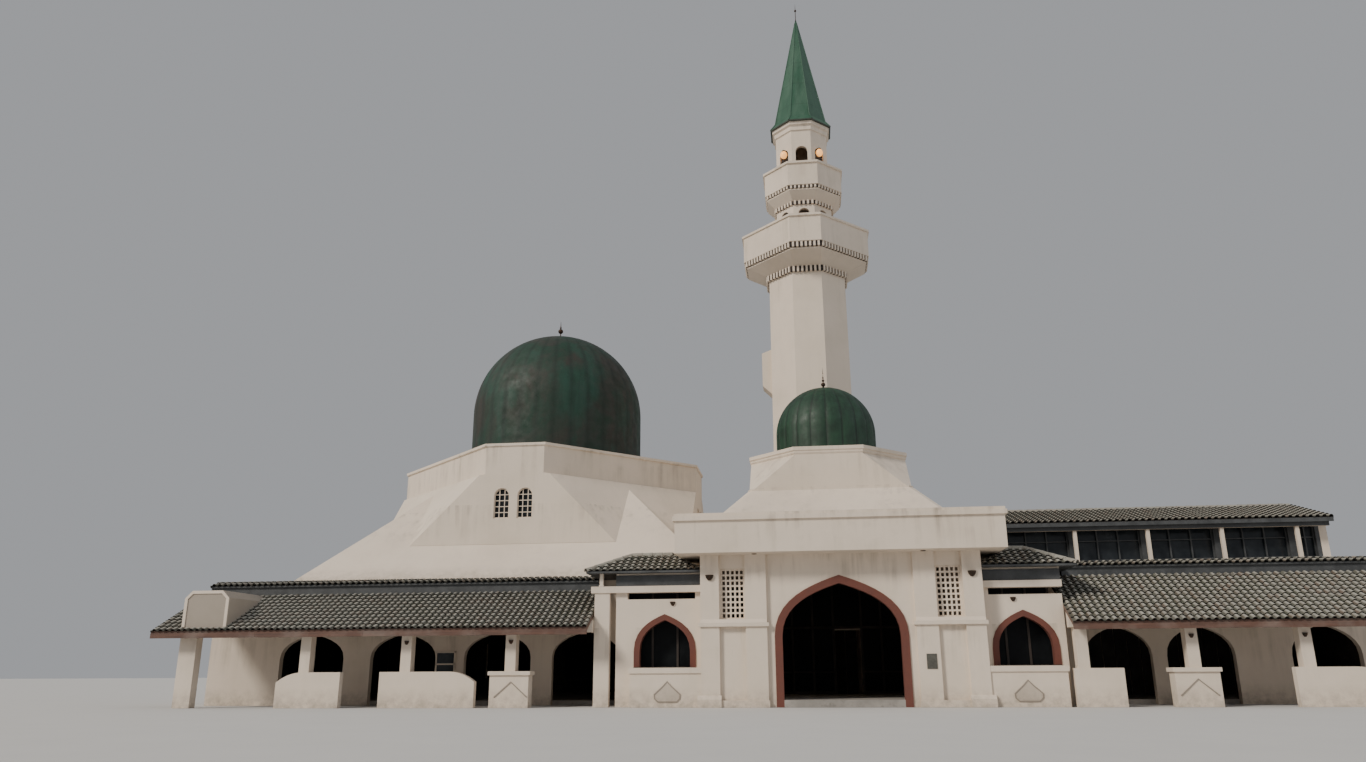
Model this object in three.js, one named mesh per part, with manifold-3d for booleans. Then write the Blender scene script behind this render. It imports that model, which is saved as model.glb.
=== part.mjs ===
// A white plastered mosque: a domed porch, a domed prayer hall, a minaret and two tiled arcades.
// Millimetres, +Z up. The pieces are drawn with x = 0 on the porch's middle and y = 0 on its front
// face, +X to the right along the front and +Y back into the building; the last lines move the
// whole to its own middle on the ground.
import * as THREE from "three";
import { mergeVertices } from "three/addons/utils/BufferGeometryUtils.js";
import Module from "manifold-3d";

const wasm = await Module();
wasm.setup();

// Joint between two pieces that touch
const GAP = 0.3;
const WALL = 250;

// Outer limits of the whole
const LEFT_END = -22900;
const RIGHT_END = 16900;
const FRONT_END = -730;
const BACK_END = 18250;

// Porch: a square room under a flat canopy, with a roof that turns from square to octagon
const PORCH = { half: 4420, back: 9200, top: 4690, floor: 220 };
const FACE = 120;
const PORCH_ARCH = { inner: 1840, outer: 2080, spring: 2120, apex: 3760, band: 250 };
const PILASTERS = [[2310, 2985], [3820, 4420]];
const SCREEN = { x0: 3000, x1: 3780, z0: 2670, z1: 4260, columns: 5, rows: 9, bar: 55, depth: 80 };
const STRING = { z0: 2440, z1: 2560, out: 60, slope: 110 };
const PLINTH = { top: 360, out: 110 };
const BACK_DOOR = { x0: 0, x1: 1000, top: 2660 };
const CANOPY = { half: 5160, front: -660, foot: 4700, band: 5725, top: 5960, thick: 150, out: 70 };
const CEILING_TOP = 4900;
const PORCH_ROOF = {
  x: -95, centre: 4800, foot: 5000, ledge: 7150, top: 8360, half: 2780, side: 1160, shell: 180,
  wide: 4900,
};
const DOME_RING = { top: 8630, out: 60 };
const PORCH_DOME = { radius: 1860, centre: 9620, shell: 120 };

// Prayer hall: a low walled block, a 45 degree pyramid roof on it, and an octagonal drum
const HALL = { x: -11950, y: 10450 };
const HALL_LEFT = -22600;
const HALL_RIGHT = -4610;
const HALL_FRONT = 2650;
const LEFT_WALL_TOP = 3950;
const FLAT_TOP = 4200;
const PYRAMID = { half: 7800, kerb: 4310, shell: 180, top: 8280 };
const DRUM = { half: 6410, foot: 5715, ledge: 8360, top: 9580, side: 1380, broach: 3970, shell: 200 };
const PARAPET = { setback: 240, coping: 130, out: 50 };
const DRUM_WINDOW = { offset: 455, half: 300, sill: 6690, spring: 7540 };
const DRUM_SLAB = [8600, 8800];
const HALL_DOME = { radius: 3750, centre: 12160, shell: 180 };
const HALL_ARCH = { half: 1200, spring: 1600, apex: 2450, sill: 900 };
const FRONT_ARCHES = [-18700, -15300, -11860, -8700];
const REAR_ARCHES = [-19700, -15700, -11700, -7700];
const SIDE_ARCHES = [5400, 9400, 13400];

// Minaret, about its own axis; `side` is the share of a half width that a straight side takes
const MINARET = { x: -480, y: 11250 };
const BASE = { inner: 1500, top: 4600 };
const SHAFT = { foot: 1790, head: 1715, top: 18530, shell: 250, side: 0.38 };
const ORIEL = { half: 420, out: 430, bottom: 13440, top: 14970 };
const LOWER = { half: 2860, lip: 2720, corbel: 19080, foot: 19350, floor: 19470, top: 20650, side: 0.24 };
const NECK = { half: 1280, shell: 180 };
const NECK_OPENING = { width: 520, sill: 19600, spring: 21430 };
const UPPER = { half: 1790, lip: 1700, corbel: 22480, foot: 22650, floor: 22760, top: 23830, side: 0.38 };
const UPPER_BASE = 22000;
const LANTERN = { half: 1200, top: 25750, cornice: 26200, shell: 180 };
const LANTERN_OPENING = { width: 560, sill: 22900, spring: 24670 };
const SPIRE = { half: 1200, lip: 1440, top: 32690, ball: 33300, rod: 33750 };

// Arcades: columns on the front line, and a tiled lean-to roof up to the wall behind
const EAVE = { front: -450, z: 2470, slab: 110 };
const COLUMN = 350;
const BEAM = { y0: 60, y1: 290, z0: 2320 };
const LOW_WALL = { top: 1120, y0: -60, y1: 180, back: 420, coping: 120, out: 55, half: 640 };
const LEFT_WING = { from: LEFT_END, to: -8000, slope: 0.485, columns: [-17600, -14120, -10600] };
const RIGHT_WING = { from: 6870, to: RIGHT_END, slope: 0.58, columns: [7175, 10350, 13550, 16725] };
const UPPER_EAVE = { face: 2250, out: 70, left: 4300, right: 4520, tiles: 210 };
const GABLE = { x0: -21880, x1: -20300, y0: -350, top: 3790, chamfer: 240, shell: 120 };
const END_PIER = { x0: -22100, x1: -21500 };

// Links between the porch and the wings: an arched wall over a planter, under a hipped roof
const LINK = { y0: 500, y1: 750, end: 7250, centre: 5640 };
const LINK_ARCH = { inner: 820, outer: 1010, sill: 1200, spring: 1720, apex: 2880, band: 190 };
const LINK_SLOT = { x0: 4640, x1: 6870, z0: 3360, z1: 3570 };
const LINK_BEAM = { out: 140, z0: 3570, z1: 3780, end: 8070 };
const LINK_PILLAR = [7450, 7950];
const PLANTER = { x1: 6700, y0: 50, top: 1200, cap: 170, out: 40 };
const RIGHT_LINK_EAVE = 7350;
const LINK_ROOF = { x0: 4423, x1: 8200, front: 150, eave: 4190, ridge: 4850, edge: 60, shell: 130 };

// Two storeys behind the right arcade
const BLOCK = { left: 5260, front: 4600, back: 9200, slab: [4300.3, 4450] };
const BLOCK_ARCHES = [8950, 11500, 15300];
const BLOCK_ARCH = { half: 1050, spring: 1500, apex: 2450 };
const STRIP = { sill: 4770, head: 5920, bay: 2450, first: 5960, mullion: 130 };
const BLOCK_ROOF = { eave: 4000, z: 6050, ridge: 6900, top: 6860, slab: 110 };
const POST = { half: 60, y0: 4150, y1: 4270, beam: 5780 };

function finish(color, roughness, metalness = 0) {
  return new THREE.MeshStandardMaterial({ color, roughness, metalness });
}
const plaster = finish(0xe6dccb, 0.85);
const terracotta = finish(0x7a4433, 0.8);
const tile = finish(0x6d6f68, 0.8);
const concrete = finish(0xa9a196, 0.9);
const darkBoard = finish(0x3a3d3f, 0.6);
const domeGreen = finish(0x2d5c48, 0.5, 0.1);
const glass = finish(0x20262a, 0.1);
const metal = finish(0x2b2a28, 0.4, 0.8);

const building = new THREE.Group();

function add(name, geometry, material, parent = building) {
  const mesh = new THREE.Mesh(geometry, material);
  mesh.name = name;
  parent.add(mesh);
  return mesh;
}

// A closed geometry becomes a solid for joining and cutting, and comes back as a geometry
function solid(geometry) {
  const bare = geometry.clone();
  bare.deleteAttribute("normal");
  bare.deleteAttribute("uv");
  const merged = mergeVertices(bare, 1e-3);
  return new wasm.Manifold(
    new wasm.Mesh({
      numProp: 3,
      vertProperties: new Float32Array(merged.attributes.position.array),
      triVerts: new Uint32Array(merged.index.array),
    }),
  );
}

function surface(manifold) {
  const mesh = manifold.getMesh();
  const geometry = new THREE.BufferGeometry();
  geometry.setAttribute("position", new THREE.BufferAttribute(mesh.vertProperties, 3));
  geometry.setIndex(new THREE.BufferAttribute(mesh.triVerts, 1));
  return geometry;
}

function join(...geometries) {
  return surface(geometries.map(solid).reduce((a, b) => a.add(b)));
}

function cut(geometry, ...tools) {
  return surface(tools.map(solid).reduce((a, b) => a.subtract(b), solid(geometry)));
}

function mirrored(geometry) {
  return surface(solid(geometry).mirror([1, 0, 0]));
}

function box(x0, x1, y0, y1, z0, z1) {
  const geometry = new THREE.BoxGeometry(x1 - x0, y1 - y0, z1 - z0);
  return geometry.translate((x0 + x1) / 2, (y0 + y1) / 2, (z0 + z1) / 2);
}

function outline(points) {
  return new THREE.Shape(points.map(([a, b]) => new THREE.Vector2(a, b)));
}

// An outline drawn in X and Z, run back along Y
function alongY(shape, y0, y1, curveSegments = 7) {
  const options = { depth: y1 - y0, bevelEnabled: false, curveSegments };
  return new THREE.ExtrudeGeometry(shape, options).rotateX(Math.PI / 2).translate(0, y1, 0);
}

// An outline drawn in Y and Z, run along X
function alongX(shape, x0, x1) {
  const options = { depth: x1 - x0, bevelEnabled: false, curveSegments: 7 };
  const turn = new THREE.Matrix4().makeBasis(
    new THREE.Vector3(0, 1, 0),
    new THREE.Vector3(0, 0, 1),
    new THREE.Vector3(1, 0, 0),
  );
  return new THREE.ExtrudeGeometry(shape, options).applyMatrix4(turn).translate(x0, 0, 0);
}

// Straight jambs from the sill, then two bent sides that meet at a low point
function pointedArch(centre, half, sill, spring, apex) {
  const rise = apex - spring;
  const shoulder = spring + 0.62 * rise;
  const crown = apex - 0.15 * rise;
  const shape = new THREE.Shape();
  shape.moveTo(centre - half, sill);
  shape.lineTo(centre + half, sill);
  shape.lineTo(centre + half, spring);
  shape.bezierCurveTo(centre + half, shoulder, centre + 0.42 * half, crown, centre, apex);
  shape.bezierCurveTo(centre - 0.42 * half, crown, centre - half, shoulder, centre - half, spring);
  shape.closePath();
  return shape;
}

function roundArch(centre, half, sill, spring) {
  const shape = new THREE.Shape();
  shape.moveTo(centre - half, sill);
  shape.lineTo(centre + half, sill);
  shape.lineTo(centre + half, spring);
  shape.absarc(centre, spring, half, 0, Math.PI, false);
  shape.closePath();
  return shape;
}

// One level of an octagon: half widths along X and Y, and x + y on its slanted sides
function ring(ax, ay, slant, z) {
  const cx = slant - ay;
  const cy = slant - ax;
  const corners = [[cx, -ay], [ax, -cy], [ax, cy], [cx, ay], [-cx, ay], [-ax, cy], [-ax, -cy], [-cx, -ay]];
  return corners.map(([x, y]) => new THREE.Vector3(x, y, z));
}

function octagon(half, side, z) {
  return ring(half, half, half * (1 + side), z);
}

function square(half, z) {
  const corners = [[half, -half], [half, half], [-half, half], [-half, -half]];
  return corners.map(([x, y]) => new THREE.Vector3(x, y, z));
}

// Levels of equal count joined by faces: a stack is capped at both ends, a loop closes on itself
function loft(levels, loop = false) {
  const count = levels[0].length;
  const index = [];
  const bands = loop ? levels.length : levels.length - 1;
  for (let r = 0; r < bands; r += 1) {
    const low = r * count;
    const high = ((r + 1) % levels.length) * count;
    for (let i = 0; i < count; i += 1) {
      const j = (i + 1) % count;
      index.push(low + i, low + j, high + j, low + i, high + j, high + i);
    }
  }
  if (!loop) {
    const last = (levels.length - 1) * count;
    for (let i = 1; i < count - 1; i += 1) {
      index.push(0, i + 1, i);
      index.push(last, last + i, last + i + 1);
    }
  }
  return new THREE.BufferGeometry().setFromPoints(levels.flat()).setIndex(index);
}

// A profile of [radius, height] pairs, listed from the bottom up, turned about the Z axis
function turned(profile, segments) {
  const points = profile.map(([r, z]) => new THREE.Vector2(r, z));
  return new THREE.LatheGeometry(points, segments).rotateX(Math.PI / 2);
}

// A dome on a straight foot, hollow and open below
function domeShell({ radius, centre, shell }, foot, segments, steps) {
  const profile = [];
  const inner = radius - shell;
  const half = Math.ceil(steps / 2);
  for (let i = half; i >= 0; i -= 1) {
    const angle = (Math.PI / 2) * (i / half);
    profile.push([i === half ? 0 : inner * Math.cos(angle), centre + inner * Math.sin(angle)]);
  }
  profile.push([inner, foot], [radius, foot]);
  for (let i = 0; i <= steps; i += 1) {
    const angle = (Math.PI / 2) * (i / steps);
    profile.push([i === steps ? 0 : radius * Math.cos(angle), centre + radius * Math.sin(angle)]);
  }
  return turned(profile, segments);
}

// A small foot, a pole, a ball and a spike
function finial(foot, ballCentre, ballRadius, tip, pole) {
  const profile = [[0, foot], [pole * 2.6, foot], [pole * 2.2, foot + 60], [pole, foot + 110]];
  const steps = 6;
  for (let i = 1; i < steps; i += 1) {
    const angle = -Math.PI / 2 + (Math.PI * i) / steps;
    profile.push([ballRadius * Math.cos(angle), ballCentre + ballRadius * Math.sin(angle)]);
  }
  profile.push([pole, ballCentre + ballRadius + 10], [pole * 0.8, ballCentre + ballRadius + 70], [0, tip]);
  return turned(profile, 12);
}

// Porch
const wallBack = FACE + WALL;
const porchInner = PORCH.half - WALL;

add("porch_floor", join(
  box(-porchInner + GAP, porchInner - GAP, wallBack + GAP, PORCH.back - WALL - GAP, 0, PORCH.floor),
  box(-PORCH_ARCH.inner + GAP, PORCH_ARCH.inner - GAP, FACE - 40, wallBack + 1, 0, PORCH.floor),
), concrete);

// Half of the front wall beside the arch: two pilasters, a string course and a flared plinth
function frontPier() {
  const seam = PORCH_ARCH.spring + 100;
  const [inner, outer] = PILASTERS;
  const jamb = PORCH_ARCH.outer + GAP;
  const parts = [
    box(jamb, PORCH.half, FACE, wallBack, 0, seam),
    box(inner[0], PORCH.half, FACE, wallBack, seam - 1, PORCH.top),
    box(inner[0], inner[1], 0, FACE + 1, 0, PORCH.top),
    box(outer[0], outer[1], 0, FACE + 1, 0, PORCH.top),
    box(inner[0] - STRING.out, inner[0] + 1, -STRING.out, FACE - GAP, STRING.z0, STRING.z1),
    alongX(outline([[-STRING.out, STRING.z0], [FACE + 1, STRING.z0], [FACE + 1, STRING.z1 + STRING.slope],
      [0, STRING.z1 + STRING.slope], [-STRING.out, STRING.z1]]), inner[0], PORCH.half),
    box(PORCH.half - 1, PORCH.half + STRING.out, -STRING.out, FACE + 1, STRING.z0, STRING.z1),
    alongX(outline([[-PLINTH.out, 0], [FACE + 1, 0], [FACE + 1, PLINTH.top], [-20, PLINTH.top],
      [-PLINTH.out, PLINTH.top - 120]]), outer[0] - 40, PORCH.half + PLINTH.out),
    box(inner[0] - 30, outer[0] - 30, -40, FACE + 1, 0, PLINTH.top - 150),
  ];
  return cut(join(...parts), box(SCREEN.x0, SCREEN.x1, -1, wallBack + 1, SCREEN.z0, SCREEN.z1));
}
add("porch_right_pier", frontPier(), plaster);
add("porch_left_pier", mirrored(frontPier()), plaster);

const headHalf = PILASTERS[0][0] - GAP;
const archTop = PORCH_ARCH.apex + PORCH_ARCH.band;
add("porch_arch_head", cut(
  box(-headHalf, headHalf, FACE, wallBack, PORCH_ARCH.spring + 100 + GAP, PORCH.top),
  alongY(pointedArch(0, PORCH_ARCH.outer + GAP, 0, PORCH_ARCH.spring, archTop + GAP), 0, 600, 10),
), plaster);
add("porch_arch_trim", cut(
  alongY(pointedArch(0, PORCH_ARCH.outer, 0, PORCH_ARCH.spring, archTop), FACE - 40, wallBack, 10),
  alongY(pointedArch(0, PORCH_ARCH.inner, -1, PORCH_ARCH.spring, PORCH_ARCH.apex), 0, 600, 10),
), terracotta);

// A pierced screen: upright and level bars that leave square holes
function screen() {
  const { columns, rows, bar, depth } = SCREEN;
  const x0 = SCREEN.x0 + GAP;
  const x1 = SCREEN.x1 - GAP;
  const z0 = SCREEN.z0 + GAP;
  const z1 = SCREEN.z1 - GAP;
  const y0 = FACE + 80;
  const bars = [];
  for (let c = 0; c <= columns; c += 1) {
    const x = x0 + (c * (x1 - x0 - bar)) / columns;
    bars.push(box(x, x + bar, y0, y0 + depth, z0, z1));
  }
  for (let r = 0; r <= rows; r += 1) {
    const z = z0 + (r * (z1 - z0 - bar)) / rows;
    bars.push(box(x0, x1, y0, y0 + depth, z, z + bar));
  }
  return join(...bars);
}
add("porch_right_screen", screen(), plaster);
add("porch_left_screen", mirrored(screen()), plaster);

add("porch_right_wall", box(porchInner, PORCH.half, wallBack + GAP, PORCH.back, 0, PORCH.top), plaster);
add("porch_left_wall", box(-PORCH.half, -porchInner, wallBack + GAP, PORCH.back, 0, PORCH.top), plaster);
const backDoor = box(BACK_DOOR.x0, BACK_DOOR.x1, PORCH.back - 2 * WALL, PORCH.back + 900,
  -1, BACK_DOOR.top);
add("porch_back_wall", cut(
  box(-porchInner + GAP, porchInner - GAP, PORCH.back - WALL, PORCH.back, 0, PORCH.top),
  backDoor,
), plaster);

// The ceiling with its wide soffit, and the plain upstand round it with a cornice on top
function canopy() {
  const { half, front, foot, band, top, thick, out } = CANOPY;
  const back = PORCH.back;
  const tier = (x, y, low, high) => box(-x, x, y, back, low, high);
  const tray = join(
    tier(half, front, PORCH.top + GAP, band + 1),
    tier(half + out, front - out, band, top - 90),
    tier(half + out - 45, front - out + 45, top - 91, top),
  );
  const well = box(-half + thick, half - thick, front + thick, back - thick, CEILING_TOP, top + 1);
  const groove = cut(box(-half - 200, half + 200, front - 200, back + 1, 0, foot),
    box(-half + 60, half - 60, front + 60, back + 2, -1, foot + 1));
  return cut(tray, well, groove);
}
add("porch_canopy", canopy(), plaster);

// Everything above the canopy stands round one upright axis
const porchTop = new THREE.Group();
porchTop.position.set(PORCH_ROOF.x, PORCH_ROOF.centre, 0);
building.add(porchTop);

// A 45 degree skirt on a square foot, then walls that turn the square into an octagon
function porchRoof() {
  const { centre, foot, ledge, top, half, side, shell, wide } = PORCH_ROOF;
  const corner = 150;
  const low = CEILING_TOP + GAP;
  const inner = half - shell;
  const drop = 0.41 * shell;
  const skirt = loft([
    ring(wide, wide, 2 * wide - corner, low),
    ring(wide, wide, 2 * wide - corner, foot),
    ring(half + 50, half + 50, 2 * half + 100 - corner, ledge - 50),
    ring(half + 50, half + 50, 2 * half + 100 - corner, ledge),
    ring(half, half, 2 * half - corner, ledge),
    ring(half, half, half + side, top),
    ring(inner, inner, half + side - shell * 1.3, top),
    ring(inner, inner, 2 * inner - corner, ledge - drop),
    ring(wide - shell, wide - shell, 2 * (wide - shell) - corner, foot - drop),
    ring(wide - shell, wide - shell, 2 * (wide - shell) - corner, low),
  ], true);
  const behind = PORCH.back - CANOPY.thick - GAP - centre;
  return cut(skirt, box(-wide - 10, wide + 10, behind, wide + 10, low - 10, ledge));
}
add("porch_roof", porchRoof(), plaster, porchTop);

function domeRing() {
  const { half, side, top } = PORCH_ROOF;
  const slant = half + side;
  const out = DOME_RING.out;
  const hole = PORCH_DOME.radius - PORCH_DOME.shell;
  const slab = loft([
    ring(half, half, slant, top + GAP),
    ring(half + out / 2, half + out / 2, slant + out, top + 60),
    ring(half + out / 2, half + out / 2, slant + out, top + 110),
    ring(half + out, half + out, slant + 2 * out, top + 150),
    ring(half + out, half + out, slant + 2 * out, DOME_RING.top),
  ]);
  const well = new THREE.CylinderGeometry(hole, hole, 700, 36).rotateX(Math.PI / 2);
  return cut(slab, well.translate(0, 0, top));
}
add("porch_dome_ring", domeRing(), plaster, porchTop);
add("porch_dome", domeShell(PORCH_DOME, DOME_RING.top + GAP, 36, 10), domeGreen, porchTop);
const porchDomeTop = PORCH_DOME.centre + PORCH_DOME.radius;
add("porch_finial", finial(porchDomeTop + GAP, porchDomeTop + 180, 85, porchDomeTop + 890, 22),
  metal, porchTop);

// Prayer hall walls
function arches(centres, arch, sill, y0, y1) {
  return centres.map((x) => alongY(pointedArch(x, arch.half, sill, arch.spring, arch.apex), y0, y1));
}
const frontJoints = [1, 2].map((i) => (FRONT_ARCHES[i] + FRONT_ARCHES[i + 1]) / 2);
function hallFront(x0, x1, centres) {
  return cut(
    box(x0, x1, HALL_FRONT, HALL_FRONT + WALL, 0, FLAT_TOP),
    ...arches(centres, HALL_ARCH, -1, HALL_FRONT - 1, HALL_FRONT + WALL + 1),
  );
}
add("hall_front_wall_left", hallFront(HALL_LEFT, frontJoints[0] - GAP, FRONT_ARCHES.slice(0, 2)), plaster);
add("hall_front_wall_middle", hallFront(frontJoints[0], frontJoints[1] - GAP, [FRONT_ARCHES[2]]), plaster);
add("hall_front_wall_right", hallFront(frontJoints[1], HALL_RIGHT, [FRONT_ARCHES[3]]), plaster);
add("hall_back_wall", cut(
  box(HALL_LEFT, HALL_RIGHT, BACK_END - WALL, BACK_END, 0, FLAT_TOP),
  ...arches(REAR_ARCHES, HALL_ARCH, HALL_ARCH.sill, BACK_END - WALL - 1, BACK_END + 1),
), plaster);
const hallDeep = [HALL_FRONT + WALL + GAP, BACK_END - WALL - GAP];
add("hall_left_wall", cut(
  box(HALL_LEFT, HALL_LEFT + WALL, ...hallDeep, 0, LEFT_WALL_TOP),
  ...SIDE_ARCHES.map((y) => alongX(
    pointedArch(y, HALL_ARCH.half, HALL_ARCH.sill, HALL_ARCH.spring, HALL_ARCH.apex),
    HALL_LEFT - 1, HALL_LEFT + WALL + 1)),
), plaster);
add("hall_right_wall", box(HALL_RIGHT - WALL, HALL_RIGHT, ...hallDeep, 0, FLAT_TOP), plaster);
add("hall_floor", box(HALL_LEFT + WALL + GAP, HALL_RIGHT - WALL - GAP, ...hallDeep, 0, 150), concrete);

// A level roof beside the pyramid, on the left wall
add("hall_flat_roof", box(HALL_LEFT, HALL.x - PYRAMID.half + 300, ...hallDeep,
  LEFT_WALL_TOP + GAP, FLAT_TOP), concrete);

// The pyramid and the drum are one shell; the drum's slanted faces run down into the pyramid
const pyramidReach = PYRAMID.half + PYRAMID.kerb;
const ledgeSlant = DRUM.half + DRUM.side;
const footSlant = DRUM.half + DRUM.broach;
const broachRun = (footSlant - ledgeSlant) / (DRUM.ledge - DRUM.foot);
const parapetSlant = ledgeSlant - PARAPET.setback;
const drumInner = DRUM.half - DRUM.shell;
const slantShell = 1.5 * DRUM.shell;

function hallRoof() {
  const { half, foot, ledge, top } = DRUM;
  const { coping, out } = PARAPET;
  const low = FLAT_TOP + GAP;
  const pyramid = loft([
    square(PYRAMID.half, low),
    square(PYRAMID.half, PYRAMID.kerb),
    square(pyramidReach - PYRAMID.top, PYRAMID.top),
  ]);
  const drum = loft([
    ring(half, half, footSlant, foot),
    ring(half, half, ledgeSlant, ledge),
    ring(half, half, parapetSlant, ledge + 45),
    ring(half, half, parapetSlant, top - coping),
    ring(half + out, half + out, parapetSlant + 2 * out, top - coping + 30),
    ring(half + out, half + out, parapetSlant + 2 * out, top),
  ]);
  const shell = PYRAMID.shell * Math.SQRT2;
  const attic = loft([
    square(PYRAMID.half - shell, low - 10),
    square(PYRAMID.half - shell, PYRAMID.kerb),
    square(pyramidReach - shell - 8000, 8000),
  ]);
  const start = foot - 110;
  const lantern = loft([
    ring(drumInner, drumInner, ledgeSlant + broachRun * (ledge - start) - slantShell, start),
    ring(drumInner, drumInner, ledgeSlant - slantShell, ledge),
    ring(drumInner, drumInner, parapetSlant - slantShell, ledge + 45),
    ring(drumInner, drumInner, parapetSlant - slantShell, top + 10),
  ]);
  const { offset, half: w, sill, spring } = DRUM_WINDOW;
  const windows = [-offset, offset].flatMap((at) => [
    alongY(roundArch(at, w, sill, spring), -half - 10, half + 10),
    alongX(roundArch(at, w, sill, spring), -half - 10, half + 10),
  ]);
  const right = HALL_RIGHT - HALL.x;
  const beside = box(right, right + 900, -8000, 8000, 4000, 4800);
  const canopySide = -CANOPY.half - CANOPY.out - 10 - HALL.x;
  const canopyBack = PORCH.back + GAP - HALL.y;
  const under = box(canopySide, canopySide + 2000, -8000, canopyBack, 4680, CANOPY.top + 10);
  return cut(join(pyramid, drum), attic, lantern, ...windows, beside, under);
}
const hall = new THREE.Group();
hall.position.set(HALL.x, HALL.y, 0);
building.add(hall);
add("hall_roof", hallRoof(), plaster, hall);

// One sheet of glass behind each pair of drum windows
const paneX = DRUM_WINDOW.offset + DRUM_WINDOW.half + 90;
const paneZ = [DRUM_WINDOW.sill - 60, DRUM_WINDOW.spring + DRUM_WINDOW.half + 60];
const pane = [drumInner - GAP - 20, drumInner - GAP];
add("hall_front_glass", box(-paneX, paneX, -pane[1], -pane[0], ...paneZ), glass, hall);
add("hall_back_glass", box(-paneX, paneX, ...pane, ...paneZ), glass, hall);
add("hall_left_glass", box(-pane[1], -pane[0], -paneX, paneX, ...paneZ), glass, hall);
add("hall_right_glass", box(...pane, -paneX, paneX, ...paneZ), glass, hall);

function drumRoof() {
  const half = drumInner - GAP;
  const slant = parapetSlant - slantShell - 2 * GAP;
  const slab = loft([ring(half, half, slant, DRUM_SLAB[0]), ring(half, half, slant, DRUM_SLAB[1])]);
  const hole = HALL_DOME.radius - HALL_DOME.shell;
  const well = new THREE.CylinderGeometry(hole, hole, 900, 48).rotateX(Math.PI / 2);
  return cut(slab, well.translate(0, 0, DRUM_SLAB[0]));
}
add("hall_drum_roof", drumRoof(), concrete, hall);
add("hall_dome", domeShell(HALL_DOME, DRUM_SLAB[1] + GAP, 48, 12), domeGreen, hall);
const hallDomeTop = HALL_DOME.centre + HALL_DOME.radius;
add("hall_finial", finial(hallDomeTop + GAP, hallDomeTop + 430, 115, hallDomeTop + 960, 30), metal, hall);

// Minaret
const minaret = new THREE.Group();
minaret.position.set(MINARET.x, MINARET.y, 0);
building.add(minaret);

const baseHalf = MINARET.y - PORCH.back - GAP;
const doorInBase = backDoor.clone().translate(-MINARET.x, -MINARET.y, 0);
add("minaret_base", cut(
  box(-baseHalf, baseHalf, -baseHalf, baseHalf, 0, BASE.top - GAP),
  box(-BASE.inner, BASE.inner, -BASE.inner, BASE.inner, -1, BASE.top + 1),
  doorInBase,
), plaster, minaret);

// A box built out on the left of the shaft, with a sloping foot and head
function shaft() {
  const tube = loft([
    octagon(SHAFT.foot, SHAFT.side, BASE.top),
    octagon(SHAFT.head, SHAFT.side, SHAFT.top - GAP),
    octagon(SHAFT.head - SHAFT.shell, SHAFT.side, SHAFT.top - GAP),
    octagon(SHAFT.foot - SHAFT.shell, SHAFT.side, BASE.top),
  ], true);
  const inside = -SHAFT.head + 100;
  const face = -SHAFT.head - 20;
  const oriel = alongY(outline([[inside, ORIEL.bottom - 500], [face, ORIEL.bottom - 420],
    [face - ORIEL.out, ORIEL.bottom], [face - ORIEL.out, ORIEL.top], [face, ORIEL.top + 160],
    [inside, ORIEL.top + 200]]), -ORIEL.half, ORIEL.half);
  return join(tube, oriel);
}
add("minaret_shaft", shaft(), plaster, minaret);

// A corbel that flares from the wall below to a lip, then a band, a floor and a coped parapet
function balcony({ half, lip, side, corbel, foot, floor, top }, stem, base, inner) {
  const out = half + 70;
  const coping = top - 110;
  return loft([
    octagon(stem, SHAFT.side, base),
    octagon(stem + 80, SHAFT.side, base + 60),
    octagon(lip, side, corbel - 50),
    octagon(lip, side, corbel),
    octagon(lip - 40, side, corbel + 10),
    octagon(lip - 40, side, foot - 10),
    octagon(half, side, foot),
    octagon(half, side, coping),
    octagon(out, side, coping + 10),
    octagon(out, side, top),
    octagon(half - 150, side, top),
    octagon(half - 150, side, floor),
    octagon(inner, SHAFT.side, floor),
    octagon(inner, SHAFT.side, base),
  ], true);
}
const neckInner = NECK.half - NECK.shell;
const lanternInner = LANTERN.half - LANTERN.shell;
add("minaret_lower_balcony",
  balcony(LOWER, SHAFT.head, SHAFT.top, neckInner), plaster, minaret);
add("minaret_upper_balcony",
  balcony(UPPER, NECK.half, UPPER_BASE, lanternInner), plaster, minaret);

// Eight arched openings, one in the middle of each side of an octagonal wall
function pierced(wall, half, { width, sill, spring }) {
  const tools = [0, 1, 2, 3].map((i) =>
    alongY(roundArch(0, width / 2, sill, spring), -half - 300, half + 300).rotateZ((i * Math.PI) / 4));
  return cut(wall, ...tools);
}
add("minaret_neck", pierced(loft([
  octagon(NECK.half, SHAFT.side, LOWER.floor + GAP),
  octagon(NECK.half, SHAFT.side, UPPER_BASE - GAP),
  octagon(neckInner, SHAFT.side, UPPER_BASE - GAP),
  octagon(neckInner, SHAFT.side, LOWER.floor + GAP),
], true), NECK.half, NECK_OPENING), plaster, minaret);
add("minaret_lantern", pierced(loft([
  octagon(LANTERN.half, SHAFT.side, UPPER.floor + GAP),
  octagon(LANTERN.half, SHAFT.side, LANTERN.top),
  octagon(LANTERN.half + 60, SHAFT.side, LANTERN.top + 40),
  octagon(LANTERN.half + 60, SHAFT.side, LANTERN.top + 240),
  octagon(LANTERN.half + 150, SHAFT.side, LANTERN.top + 300),
  octagon(LANTERN.half + 150, SHAFT.side, LANTERN.cornice),
  octagon(lanternInner, SHAFT.side, LANTERN.cornice),
  octagon(lanternInner, SHAFT.side, UPPER.floor + GAP),
], true), LANTERN.half, LANTERN_OPENING), plaster, minaret);

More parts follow.
